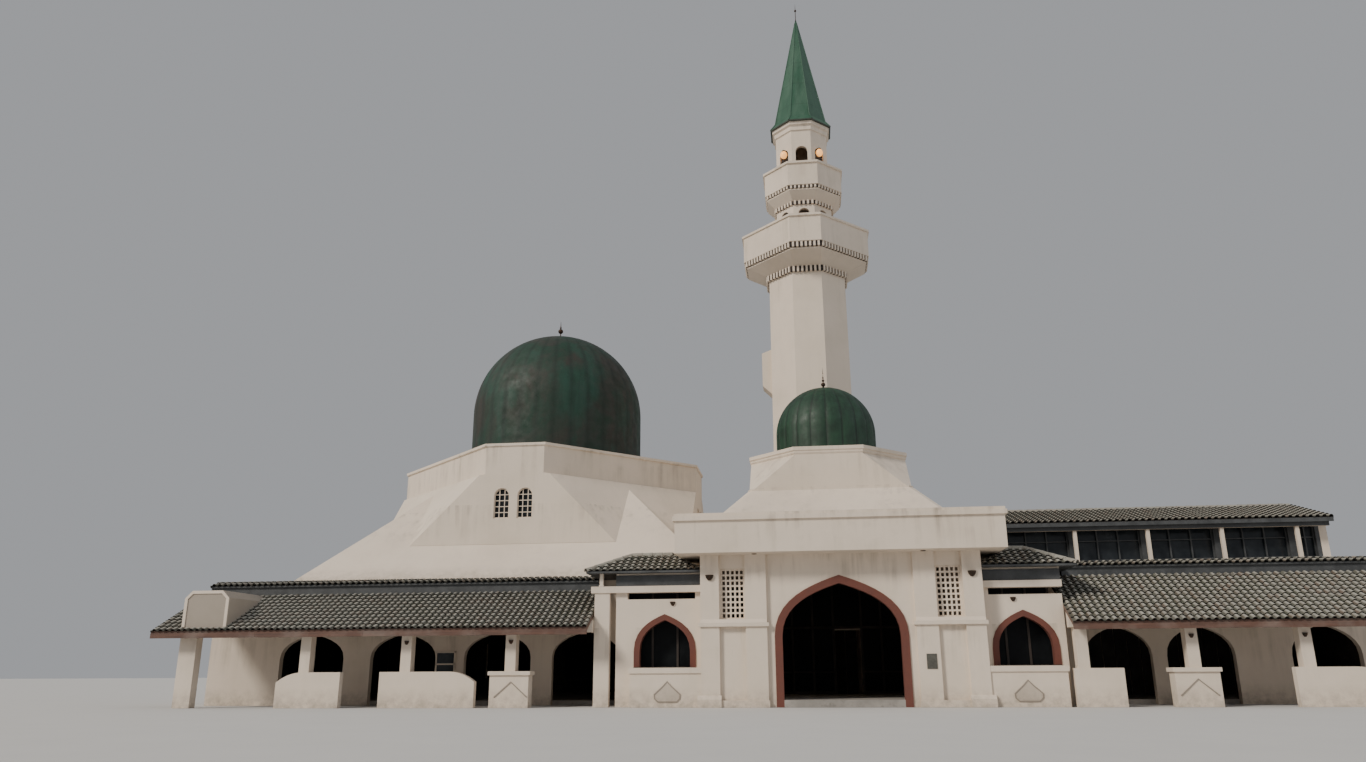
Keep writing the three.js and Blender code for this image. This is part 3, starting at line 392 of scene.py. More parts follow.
def metal_finish(finish):
    filmed_finish(finish, (18.0, 6.0, 0.7), (rgb("metal"), (0.13, 0.062, 0.032)), (0.35, 0.75),
                  edge=0.45, bump=(0.002, 0.6), metallic=0.7)


def plate_finish(finish):
    filmed_finish(finish, (12.0, 6.0, 0.7), ((0.085, 0.082, 0.07), (0.15, 0.147, 0.125)), (0.35, 0.65),
                  bump=(0.001, 0.6), metallic=0.35)


def soil_finish(finish):
    filmed_finish(finish, (30.0, 8.0, 0.75), ((0.022, 0.015, 0.01), (0.09, 0.062, 0.042)), (0.9, 1.0),
                  bump=(0.02, 1.0))


def lamp_finish(finish):
    finish.layer(finish.cloud((6.0, 3.0), 0.3, 0.7), rgb("lamp"), shade(rgb("lamp"), 0.8))
    finish.join(finish.tone, finish.sockets["Emission Color"])
    finish.sockets["Emission Strength"].default_value = 1.5


# How each plaster differs: the levels that its streaks run down from and its splashes rise from
PLASTERS = {
    "wall_plaster": {"tops": (4.7, 2.44)},
    "trim_plaster": {"feet": ()},
    "gable_plaster": {"feet": (), "depth": 0.5},
    "tower_plaster": {"tops": (18.5, 20.6, 23.8, 26.1), "feet": (), "streaks": 0.45},
    "canopy_plaster": {"tops": (5.95,), "feet": (), "streaks": 0.6},
    "porch_roof_plaster": {"tops": (7.2, 8.6), "feet": (4.9,), "streaks": 0.5},
    "hall_roof_plaster": {"tops": (9.5, 7.2), "feet": (4.2,), "streaks": 0.6},
    # Painted shade: the carved outlines are painted darker
    "carved_plaster_painted_shade": {"streaks": 0.8, "depth": 0.4},
    "carved_field_plaster": {"streaks": 0.8, "depth": 0.75},
}
# The other finishes: what makes each, its gloss, and the slot of the small parts that wear it
FINISHES = {
    "terracotta_trim": (terracotta_finish, 0.8, None),
    "weathered_concrete": (concrete_finish, 0.9, None),
    "weathered_roof_tile": (tile_finish, 0.82, "roof_tile"),
    "eave_timber": (eave_timber_finish, 0.7, "dark_board"),
    "dark_timber_and_painted_shade": (timber_and_painted_shade_finish, 0.7, "dark_board"),
    "dark_board_and_painted_shade": (dark_board_and_shade_finish, 0.55, "dark_board"),
    "hall_dome_coating": (hall_dome_finish, 0.5, "dome_green"),
    "porch_dome_coating": (porch_dome_finish, 0.42, "dome_green"),
    "spire_paint": (spire_finish, 0.5, "spire_green"),
    "dark_window_glass": (glass_finish, 0.08, "glass"),
    "shaded_window_glass": (inner_glass_finish, 0.5, "glass"),
    "warm_lamp_glass": (lamp_finish, 0.3, "glass"),
    "dark_cast_metal": (metal_finish, 0.45, "dark_metal"),
    "bare_wall_plate": (plate_finish, 0.45, "dark_metal"),
    "planter_soil": (soil_finish, 0.95, "concrete"),
}
FINISHES.update({name: (plaster_finish, 0.85, "plaster") for name in PLASTERS})
MATERIALS = {}


def coat(name):
    """Makes each finish once and hands out its material and the slot of its small parts."""
    make, roughness, slot = FINISHES[name]
    if name not in MATERIALS:
        finish = Finish(name, roughness)
        make(finish, **PLASTERS.get(name, {}))
        MATERIALS[name] = finish.material
    return MATERIALS[name], slot


def upward(direction):
    return -direction if direction.z < 0 else direction


def middles(start, end, count):
    """The middles of equal lengths from start to end."""
    return [start + (i + 0.5) * (end - start) / count for i in range(count)]


class Draft:
    """Collects points and faces of one piece, each face with a tone and each point with a mark."""

    def __init__(self):
        self.points = []
        self.faces = []
        self.tones = []
        self.marks = []

    def add(self, points, faces, tone=0.0, marks=None):
        start = len(self.points)
        self.points.extend(Vector(p) for p in points)
        self.faces.extend([start + i for i in face] for face in faces)
        self.tones.extend([tone] * len(faces))
        self.marks.extend(marks or [0.0] * len(points))

    def brick(self, centre, along, out, size):
        """A block about its centre, with its sides along two level directions and upright."""
        along, out = Vector(along).normalized(), Vector(out).normalized()
        up = upward(along.cross(out))
        a, o, u = along * size[0] / 2, out * size[1] / 2, up * size[2] / 2
        centre = Vector(centre)
        corners = [centre + i * a + j * o + k * u for k in (-1, 1) for j in (-1, 1) for i in (-1, 1)]
        self.add(corners, [(0, 2, 3, 1), (4, 5, 7, 6), (0, 1, 5, 4), (2, 6, 7, 3), (0, 4, 6, 2),
                           (1, 3, 7, 5)])

    def box(self, x0, x1, y0, y1, z0, z1):
        centre = ((x0 + x1) / 2, (y0 + y1) / 2, (z0 + z1) / 2)
        self.brick(centre, (1, 0, 0), (0, 1, 0), (x1 - x0, y1 - y0, z1 - z0))

    def turned(self, axis, profile, steps, shape=None, start=0.0, sweep=2 * math.pi, marks=None):
        """A profile of (radius, height) pairs turned about an upright axis; ends on it close up."""
        full = abs(sweep - 2 * math.pi) < 1e-6
        count = steps if full else steps + 1
        points, values = [], []
        for i in range(count):
            angle = start + sweep * i / steps
            swell = shape(angle) if shape else 1.0
            for radius, z in profile:
                points.append((axis[0] + radius * swell * math.cos(angle),
                               axis[1] + radius * swell * math.sin(angle), z))
                values.append(marks(angle) if marks else 0.0)
        rows = len(profile)
        faces = []
        for i in range(steps):
            j = (i + 1) % count
            for k in range(rows - 1):
                faces.append((i * rows + k, j * rows + k, j * rows + k + 1, i * rows + k + 1))
        if not full:
            faces.append(tuple(range(rows)))
            faces.append(tuple((count - 1) * rows + k for k in reversed(range(rows))))
        self.add(points, faces, marks=values)

    def tube(self, start, end, radius, steps, end_radius=None):
        """A round bar between two points."""
        start, end = Vector(start), Vector(end)
        axis = (end - start).normalized()
        side = axis.orthogonal().normalized()
        other = axis.cross(side)
        points = []
        for centre, r in ((start, radius), (end, radius if end_radius is None else end_radius)):
            for i in range(steps):
                angle = 2 * math.pi * i / steps
                points.append(centre + (side * math.cos(angle) + other * math.sin(angle)) * r)
        faces = [(i, (i + 1) % steps, steps + (i + 1) % steps, steps + i) for i in range(steps)]
        faces.append(tuple(reversed(range(steps))))
        faces.append(tuple(range(steps, 2 * steps)))
        self.add(points, faces)

    def piece(self, name, finish, smooth=None, bevel=0.0, replaced=()):
        """Turns the draft into one object on the body, in the part's own frame."""
        mesh = bpy.data.meshes.new(name)
        mesh.from_pydata([p + PORCH_PLACE for p in self.points], [], self.faces)
        mesh.attributes.new("tone", "FLOAT", "FACE").data.foreach_set("value", self.tones)
        for mark in ("crown", "seam"):
            mesh.attributes.new(mark, "FLOAT", "POINT").data.foreach_set("value", self.marks)
        edit = bmesh.new()
        edit.from_mesh(mesh)
        bmesh.ops.remove_doubles(edit, verts=edit.verts, dist=1e-5)
        bmesh.ops.dissolve_degenerate(edit, edges=edit.edges, dist=1e-5)
        bmesh.ops.recalc_face_normals(edit, faces=edit.faces)
        if bevel:
            bmesh.ops.bevel(edit, geom=edit.edges[:], offset=bevel, segments=2, profile=0.7,
                            affect="EDGES", clamp_overlap=True)
        edit.to_mesh(mesh)
        edit.free()
        material, slot = coat(finish)
        mesh.materials.append(material)
        if smooth is not None:
            mesh.shade_smooth()
            mesh.set_sharp_from_angle(angle=math.radians(smooth))
        made = bpy.data.objects.new(name, mesh)
        bpy.context.scene.collection.objects.link(made)
        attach(made, "root")
        if replaced:
            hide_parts(*replaced)


# One tile across its width: (share of the pitch, share of the roll's height)
ROLL = [(0.0, 0.02), (0.17, -0.05), (0.34, 0.02), (0.41, 0.58), (0.53, 0.92), (0.67, 1.0), (0.81, 0.92),
        (0.93, 0.58)]
VALLEY = ROLL[0][1]
# The tone of a roll's open end, which lies in shade, and the tones of a field's cut edges
OPEN_END = -1.0
SIDE_TONE, TOP_TONE = 0.3, 0.5
# How far a field's edges reach down into the roof
SKIRT = -0.03


def tile_field(draft, origin, across, up, width, run, seed, reach=None, rise=1.0):
    """Courses of rolled tiles on a slope, from the eave up; reach gives each place its share of the run."""
    tiles = bpy.context.scene.mosque_tiles
    across, up = Vector(across).normalized(), Vector(up).normalized()
    normal = upward(across.cross(up))
    origin = Vector(origin)
    columns = max(1, round(width / tiles.pitch))
    courses = max(1, round(run / tiles.gauge))
    pitch, gauge = width / columns, run / courses
    height = tiles.rise * rise
    dice = random.Random(seed)
    samples = [((c + t) * pitch, h) for c in range(columns) for t, h in ROLL] + [(width, VALLEY)]
    full = [run * (reach(u) if reach else 1.0) for u, _ in samples]
    bit = 1e-4

    def spot(u, v, h):
        base = origin + across * u + up * v
        wave = noise.noise(base * 0.45) * tiles.sag
        return base + normal * (h + wave)

    for course in range(courses):
        low, high = course * gauge, (course + 1) * gauge
        tops = [min(high, top) for top in full]
        for i in range(len(samples) - 1):
            if tops[i] <= low + bit and tops[i + 1] <= low + bit:
                continue
            if i % len(ROLL) == 0:
                tone = dice.random() ** 3
            (u0, h0), (u1, h1) = samples[i], samples[i + 1]
            t0, t1 = max(tops[i], low), max(tops[i + 1], low)
            fall0 = tiles.lift * (1 - (t0 - low) / gauge)
            fall1 = tiles.lift * (1 - (t1 - low) / gauge)
            points = [
                spot(u0, low, h0 * height + tiles.lift), spot(u1, low, h1 * height + tiles.lift),
                spot(u1, t1, h1 * height + fall1), spot(u0, t0, h0 * height + fall0),
                spot(u0, low, h0 * height - 0.002), spot(u1, low, h1 * height - 0.002),
            ]
            ends = [(4, 5, 1, 0)]
            crowns = [h0, h1, h1, h0, h0 * 0.4, h1 * 0.4]
            if not course:
                shell, deep = tiles.lift * 0.3, gauge * 0.5
                points[4] = spot(u0, low, h0 * height + shell)
                points[5] = spot(u1, low, h1 * height + shell)
                points += [spot(u1, deep, h1 * height - 0.004), spot(u0, deep, h0 * height - 0.004)]
                ends.append((4, 7, 6, 5))
                crowns += [0.0, 0.0]
            draft.add(points, [(0, 1, 2, 3)], tone, crowns)
            draft.add(points, ends, OPEN_END, crowns)
        for side, u in ((0, 0.0), (-1, width)):
            if tops[side] > low + bit:
                draft.add([spot(u, low, VALLEY * height + tiles.lift), spot(u, tops[side], VALLEY * height),
                           spot(u, tops[side], SKIRT), spot(u, low, SKIRT)], [(0, 1, 2, 3)], SIDE_TONE)
    last = [(u, h, top) for (u, h), top in zip(samples, full)]
    for (u0, h0, v0), (u1, h1, v1) in zip(last, last[1:]):
        if v0 > bit or v1 > bit:
            draft.add([spot(u0, v0, h0 * height), spot(u1, v1, h1 * height),
                       spot(u1, v1, SKIRT), spot(u0, v0, SKIRT)], [(0, 1, 2, 3)], TOP_TONE)


def ridge_caps(draft, start, end, radius, seed):
    """Half-round caps that overlap along a ridge or a hip, bedded in mortar."""
    start, end = Vector(start), Vector(end)
    cap_length, bed, lap, shell = 0.36, 0.02, 0.02, 0.86
    along = (end - start).normalized()
    side = Vector((-along.y, along.x, 0)).normalized()
    up = upward(along.cross(side))
    count = max(1, round((end - start).length / cap_length))
    step = (end - start) / count
    dice = random.Random(seed)
    turns = [math.radians(-12 + 204 * i / 8) for i in range(9)]

    def half_round(centre, r):
        return [centre + side * math.cos(a) * r + up * (math.sin(a) * r - bed) for a in turns]

    for n in range(count):
        tone = dice.random()
        back = start + step * n
        wide = radius * 1.06
        lower = back - along * lap
        points = half_round(lower, wide) + half_round(back + step, radius * 0.94)
        points += half_round(lower, wide * shell)
        faces = [(i, i + 1, 9 + i + 1, 9 + i) for i in range(8)]
        faces += [(18 + i, 18 + i + 1, i + 1, i) for i in range(8)]
        draft.add(points, faces, tone, [0.8] * 18 + [0.1] * 9)


def octagon(half, side, z):
    c = half * side
    corners = [(c, -half), (half, -c), (half, c), (c, half), (-c, half), (-half, c), (-half, -c), (-c, -half)]
    return [Vector((x, y, z)) for x, y in corners]


def octagon_sides(half, side, z):
    """Each side's middle, its direction, its outward direction and its length."""
    corners = octagon(half, side, z)
    for i, a in enumerate(corners):
        b = corners[(i + 1) % 8]
        along = (b - a).normalized()
        yield (a + b) / 2, along, Vector((along.y, -along.x, 0)), (b - a).length


# The solids that each finish covers
COVERED = {
    "wall_plaster": (
        "porch_right_pier", "porch_left_pier", "porch_arch_head", "porch_right_screen", "porch_left_screen",
        "porch_right_wall", "porch_left_wall", "porch_back_wall", "left_link_wall", "right_link_wall",
        "left_arcade_columns", "right_arcade_columns", "hall_front_wall_left", "hall_front_wall_middle",
        "hall_front_wall_right", "hall_back_wall", "hall_left_wall", "hall_right_wall",
        "right_arcade_back_wall", "right_block_walls", "minaret_base"),
    "canopy_plaster": ("porch_canopy",),
    "porch_roof_plaster": ("porch_roof", "porch_dome_ring"),
    "hall_roof_plaster": ("hall_roof",),
    "tower_plaster": (
        "minaret_shaft", "minaret_lower_balcony", "minaret_upper_balcony", "minaret_neck", "minaret_lantern"),
    "trim_plaster": ("right_block_posts",),
    "gable_plaster": ("left_end_gable",),
    "terracotta_trim": ("porch_arch_trim", "left_link_arch_trim", "right_link_arch_trim"),
    "weathered_concrete": (
        "porch_floor", "hall_floor", "hall_flat_roof", "hall_drum_roof", "right_block_floor",
        "right_block_slab"),
    "eave_timber": ("left_arcade_roof", "right_arcade_roof", "right_block_roof"),
    # Painted shade: the block's front wall behind its posts and the bands under the upper eaves are painted
    # near black
    "dark_board_and_painted_shade": (
        "left_upper_eave", "right_upper_eave", "left_link_roof", "right_link_roof", "right_block_front"),
    "dark_window_glass": (
        "hall_front_glass", "hall_back_glass", "hall_left_glass", "hall_right_glass", "right_block_glass"),
    "spire_paint": ("minaret_spire",),
}


class WallsOperator(Operator):
    """Finishes the solid walls, floors, roofs and glass"""
    bl_idname = "mosque.walls"
    bl_label = "Walls"

    def execute(self, context):
        for finish, names in COVERED.items():
            missing = [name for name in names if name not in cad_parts]
            if missing:
                raise RuntimeError(f"the frame has no {missing}")
            material, _ = coat(finish)
            for name in names:
                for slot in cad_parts[name].material_slots:
                    slot.material = material
        return {"FINISHED"}


def dome_profile(radius, centre, foot, shell, rings):
    """A dome's outside from foot to crown, then its inside back down to the foot."""
    inner = radius - shell

    def rise(r, i):
        angle = math.pi / 2 * i / rings
        return max(r * math.cos(angle), 0.0), centre + r * math.sin(angle)

    outside = [(radius, foot), *[rise(radius, i) for i in range(rings + 1)]]
    inside = [rise(inner, i) for i in range(rings, -1, -2)]
    return outside + inside + [(inner, foot), (radius, foot)]


class DomesOperator(Operator):
    """Builds the smooth hall dome and the small dome of bulged gores"""
    bl_idname = "mosque.domes"
    bl_label = "Domes"

    def execute(self, context):
        trim = context.scene.mosque_trim
        sheets, dent = 32, 0.0016

        def near_seam(count):
            return lambda angle: 1.0 if abs(math.sin(angle * count / 2)) < 0.12 else 0.0

        low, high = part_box("hall_dome")
        radius = (high.x - low.x) / 2
        hall = Draft()
        hall.turned(HALL_AXIS, dome_profile(radius, high.z - radius, low.z, 0.18, 28), sheets * 4,
                    shape=lambda angle: 1.0 - dent * (1 - abs(math.sin(angle * sheets / 2))),
                    marks=near_seam(sheets))
        hall.piece("hall_dome_skin", "hall_dome_coating", smooth=40, replaced=("hall_dome",))
        low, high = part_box("porch_dome")
        radius = (high.x - low.x) / 2
        pinch = trim.gore_bulge / radius
        porch = Draft()
        porch.turned(PORCH_TOP_AXIS, dome_profile(radius, high.z - radius, low.z, 0.12, 24), trim.gores * 8,
                     shape=lambda angle: 1.0 - pinch * (1 - abs(math.sin(angle * trim.gores / 2))) ** 2,
                     marks=near_seam(trim.gores))
        porch.piece("porch_dome_gores", "porch_dome_coating", smooth=25, replaced=("porch_dome",))
        return {"FINISHED"}


def ball(radius, centre, steps=8):
    return [(radius * math.cos(a), centre + radius * math.sin(a))
            for a in (math.radians(-80 + 160 * i / steps) for i in range(steps + 1))]


def finial(foot, head, profile):
    """A profile raised to its foot, from the point below its first ring to the tip."""
    raised = [(radius, foot + rise) for radius, rise in profile]
    return [(0.0, foot), *raised, (0.0, head)]


class FinialsOperator(Operator):
    """Turns the balls and spikes on the domes and the spire"""
    bl_idname = "mosque.finials"
    bl_label = "Finials"

    # How far each finial is sunk, and its profile above that foot
    SUNK, ROD_SUNK = 0.03, 0.02
    HALL = ((0.11, 0.0), (0.10, 0.06), (0.045, 0.12), (0.03, 0.2), *ball(0.115, 0.46), (0.03, 0.6),
            (0.05, 0.63), (0.03, 0.66), (0.018, 0.72))
    PORCH = ((0.07, 0.0), (0.055, 0.08), (0.03, 0.12), *ball(0.085, 0.21), (0.02, 0.31),
             *ball(0.05, 0.37, 6), (0.014, 0.43), *ball(0.034, 0.48, 6), (0.011, 0.53),
             *ball(0.02, 0.66, 4), (0.009, 0.7))
    ROD = ((0.045, 0.0), (0.03, 0.05), (0.018, 0.10))
    # The ball near the rod's tip: its radius, how far its middle lies below the tip, and its collar
    BALL, BELOW_TIP, COLLAR = 0.058, 0.45, 0.07

    def execute(self, context):
        low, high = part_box("hall_finial")
        self.turn("hall_dome_finial", "hall_finial", HALL_AXIS,
                  finial(low.z - self.SUNK, high.z, self.HALL), 24)
        low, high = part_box("porch_finial")
        self.turn("porch_dome_finial", "porch_finial", PORCH_TOP_AXIS,
                  finial(low.z - self.SUNK, high.z, self.PORCH), 20)
        low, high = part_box("minaret_rod")
        foot = low.z - self.ROD_SUNK
        middle = high.z - self.BELOW_TIP - foot
        knob = ((0.016, middle - self.COLLAR), *ball(self.BALL, middle), (0.014, middle + self.COLLAR))
        self.turn("spire_rod", "minaret_rod", MINARET_AXIS,
                  finial(foot, high.z, (*self.ROD, *knob)), 16)
        return {"FINISHED"}

    def turn(self, name, solid, axis, profile, steps):
        draft = Draft()
        draft.turned(axis, profile, steps)
        draft.piece(name, "dark_cast_metal", smooth=35, replaced=(solid,))


class MinaretTrimOperator(Operator):
    """Builds the rows of dentils over sheets of painted shade, the louvres over boards of painted shade, the
    spire's corner rolls and the lamps of the lantern
    """
    bl_idname = "mosque.minaret_trim"
    bl_label = "Minaret trim"

    # Rows of dentils: inner and outer half width, straight share, foot and head
    ROWS = (
        (1.70, 1.86, SHAFT_SIDE, 18.33, 18.60),
        (2.66, 2.835, LOWER_SIDE, 19.11, 19.345),
        (1.265, 1.38, SHAFT_SIDE, 21.86, 22.05),
        (1.64, 1.765, SHAFT_SIDE, 22.50, 22.645),
    )
    # Openings behind louvres: the wall's inner half width, half of the opening, its sill and its crown
    LOUVRES = ((1.10, 0.26, 19.6, 21.69), (1.02, 0.28, 22.9, 24.95))
    SLAT_PITCH = 0.14
    # The spire's half width at its foot, at its lip and at its tip, and the height of the lip's slope
    SPIRE_FOOT, SPIRE_LIP, SPIRE_TIP, LIP_RISE = 1.2, 1.44, 0.028, 0.38
    LAMP_OUT, LAMP_LEVEL, LAMP_HALF = 0.84, 24.72, 0.19

    def execute(self, context):
        self.axis = Vector((*MINARET_AXIS, 0))
        self.dentils(context.scene.mosque_trim)
        self.louvres()
        self.spire_rolls(context.scene.mosque_trim.seam)
        self.lamps()
        return {"FINISHED"}

    def dentils(self, trim):
        dentils = Draft()
        shade_sheet = Draft()
        for inner, outer, side, foot, head in self.ROWS:
            for centre, along, out, run in octagon_sides((inner + outer) / 2, side, (foot + head) / 2):
                count = max(1, math.floor((run + trim.dentil_pitch * 0.45) / trim.dentil_pitch))
                for i in range(count):
                    at = self.axis + centre + along * (i - (count - 1) / 2) * (run / count)
                    dentils.brick(at, along, out, (trim.dentil, outer - inner, head - foot))
                # Painted shade: a dark sheet behind each row shows in the gaps between the dentils
                shade_sheet.brick(self.axis + centre - out * 0.025, along, out,
                             (run, outer - inner - 0.05, head - foot - 0.01))
        dentils.piece("minaret_dentils", "tower_plaster", bevel=0.006)
        shade_sheet.piece("minaret_dentil_painted_shade", "dark_timber_and_painted_shade")

    def louvres(self):
        louvres = Draft()
        for inner, half, sill, crown in self.LOUVRES:
            for centre, along, out, _ in octagon_sides(inner, SHAFT_SIDE, (sill + crown) / 2):
                if out.y < -0.9:
                    continue
                middle = self.axis + centre + out * 0.07
                # Painted shade: a dark board closes each opening behind its slats
                louvres.brick(middle, along, out, (2 * half + 0.12, 0.02, crown - sill + 0.1))
                slats = round((crown - sill) / self.SLAT_PITCH)
                for i in range(slats):
                    rise = Vector((0, 0, (i + 0.5 - slats / 2) * self.SLAT_PITCH))
                    louvres.brick(middle + rise + out * 0.022, along, out, (2 * half, 0.026, 0.05))
        louvres.piece("minaret_louvres_and_painted_shade", "dark_timber_and_painted_shade")

    def spire_rolls(self, seam):
        low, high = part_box("minaret_spire")
        top_of_lip = low.z + self.LIP_RISE
        rolls = Draft()
        for a, b in zip(octagon(self.SPIRE_FOOT, SHAFT_SIDE, top_of_lip),
                        octagon(self.SPIRE_TIP, SHAFT_SIDE, high.z)):
            foot, tip = self.axis + a, self.axis + b
            rolls.tube(foot, foot + (tip - foot) * 0.985, seam, 8, seam * 0.5)
        for a, b in zip(octagon(self.SPIRE_LIP, SHAFT_SIDE, low.z + 0.05),
                        octagon(self.SPIRE_FOOT, SHAFT_SIDE, top_of_lip)):
            rolls.tube(self.axis + a, self.axis + b, seam * 0.9, 8, seam)
        rolls.piece("spire_seam_rolls", "spire_paint", smooth=50)

    def lamps(self):
        lamps = Draft()
        holders = Draft()
        for x, y in ((-1, -1), (1, -1), (1, 1), (-1, 1)):
            centre = self.axis + Vector((x * self.LAMP_OUT, y * self.LAMP_OUT, self.LAMP_LEVEL))
            out = Vector((x, y, 0)).normalized()
            globe = [(0.165 * math.cos(a), centre.z + self.LAMP_HALF * math.sin(a))
                     for a in (math.radians(-75 + 150 * i / 10) for i in range(11))]
            lamps.turned((centre.x, centre.y), [
                (0.0, centre.z - self.LAMP_HALF), *globe, (0.0, centre.z + self.LAMP_HALF)], 24)
            holders.turned((centre.x, centre.y), [
                (0.0, centre.z + 0.17), (0.09, centre.z + 0.17), (0.08, centre.z + 0.225),
                (0.0, centre.z + 0.235)], 16)
            bar = centre + Vector((0, 0, 0.2))
            holders.tube(bar, bar - out * 0.3, 0.018, 8)
        lamps.piece("lantern_lamps", "warm_lamp_glass", smooth=40)
        holders.piece("lantern_lamp_holders", "dark_cast_metal", smooth=35)


def arch_points(half, sill, spring, steps=12):
    curve = [math.pi - math.pi * i / steps for i in range(1, steps)]
    return [(-half, sill), (-half, spring),
            *[(half * math.cos(a), spring + half * math.sin(a)) for a in curve],
            (half, spring), (half, sill)]


def ribbon(draft, path, place, width, depth, closed=False):
    """A flat bar that follows a path in a wall's plane; place turns (x, z, out) into a point."""
    count = len(path)
    points = []
    for i in range(count):
        before = path[i - 1] if i or closed else path[i]
        after = path[(i + 1) % count] if i < count - 1 or closed else path[i]
        run = Vector((after[0] - before[0], after[1] - before[1]))
        side = Vector((-run.y, run.x)).normalized() * width / 2
        x, z = path[i]
        points += [place(x + side.x, z + side.y, 0.0), place(x + side.x, z + side.y, depth),
                   place(x - side.x, z - side.y, depth), place(x - side.x, z - side.y, 0.0)]
    faces = []
    for i in range(count if closed else count - 1):
        j = (i + 1) % count
        for k in range(4):
            faces.append((i * 4 + k, i * 4 + (k + 1) % 4, j * 4 + (k + 1) % 4, j * 4 + k))
    if not closed:
        faces.append((0, 1, 2, 3))
        faces.append(tuple((count - 1) * 4 + k for k in (3, 2, 1, 0)))
    draft.add(points, faces)


def on_wall(y):
    """Places a ribbon on a wall that faces the front."""
    return lambda x, z, out: Vector((x, y - out, z))


class DrumWindowsOperator(Operator):
    """Builds the white bars and frames of the drum's arched windows"""
    bl_idname = "mosque.drum_windows"
    bl_label = "Drum windows"

    HALF, SILL, SPRING = 0.30, 6.69, 7.54
    OFFSET, INSET = 0.455, 0.10
    FRAME_HALF, ROW_PITCH = 0.018, 0.226

    def execute(self, context):
        muntin = context.scene.mosque_trim.muntin
        half, sill, spring = self.HALF, self.SILL, self.SPRING
        inner, foot = half - self.FRAME_HALF, sill + self.FRAME_HALF
        bars = Draft()
        for quarter in range(4):
            turn = Matrix.Rotation(quarter * math.pi / 2, 3, "Z")
            for offset in (-self.OFFSET, self.OFFSET):
                def place(x, z, out, turn=turn, offset=offset):
                    spot = turn @ Vector((offset + x, -DRUM_HALF + self.INSET - out, 0))
                    return Vector((HALL_AXIS[0] + spot.x, HALL_AXIS[1] + spot.y, z))
                ribbon(bars, arch_points(inner, foot, spring) + [(inner, foot), (-inner, foot)],
                       place, 2 * self.FRAME_HALF, 0.05)
                for x in (-half / 3, half / 3):
                    head = spring + math.sqrt(half * half - x * x) - 0.01
                    ribbon(bars, [(x, sill), (x, head)], place, muntin, 0.035)
                for row in range(1, 5):
                    z = sill + row * self.ROW_PITCH
                    reach = half if z <= spring else math.sqrt(max(0.0, half * half - (z - spring) ** 2))
                    ribbon(bars, [(-reach, z), (reach, z)], place, muntin, 0.03)
        bars.piece("drum_window_bars", "trim_plaster")
        return {"FINISHED"}


class ArcadeTilesOperator(Operator):
    """Lays the tiles of both arcade roofs and of the eaves above them"""
    bl_idname = "mosque.arcade_tiles"
    bl_label = "Arcade tiles"

    OVERHANG, END_GAP = 0.045, 0.005
    # Upper eaves: side, both ends, the level of the top and the seed
    UPPER_EAVES = (("left", -22.6, -8.2, 4.30, 21), ("right", 7.35, RIGHT_END, 4.52, 22))

    def execute(self, context):
        for side, (x0, x1, slope), seed in (("left", LEFT_ROOF, 11), ("right", RIGHT_ROOF, 12)):
            start = EAVE_FRONT - self.OVERHANG
            depth = UPPER_EAVE_FACE - start
            field = Draft()
            tile_field(field, (x0 + self.END_GAP, start, EAVE_TOP + (start - EAVE_FRONT) * slope),
                       (1, 0, 0), (0, 1, slope), x1 - x0 - 2 * self.END_GAP,
                       math.hypot(depth, depth * slope), seed)
            field.piece(f"{side}_arcade_tiles", "weathered_roof_tile", smooth=50)
        for side, x0, x1, top, seed in self.UPPER_EAVES:
            field = Draft()
            tile_field(field, (x0 + self.END_GAP, 2.14, top - 0.163), (1, 0, 0), (0, 0.47, 0.15),
                       x1 - x0 - 2 * self.END_GAP, 0.53, seed)
            field.piece(f"{side}_upper_eave_tiles", "weathered_roof_tile", smooth=50)
        return {"FINISHED"}


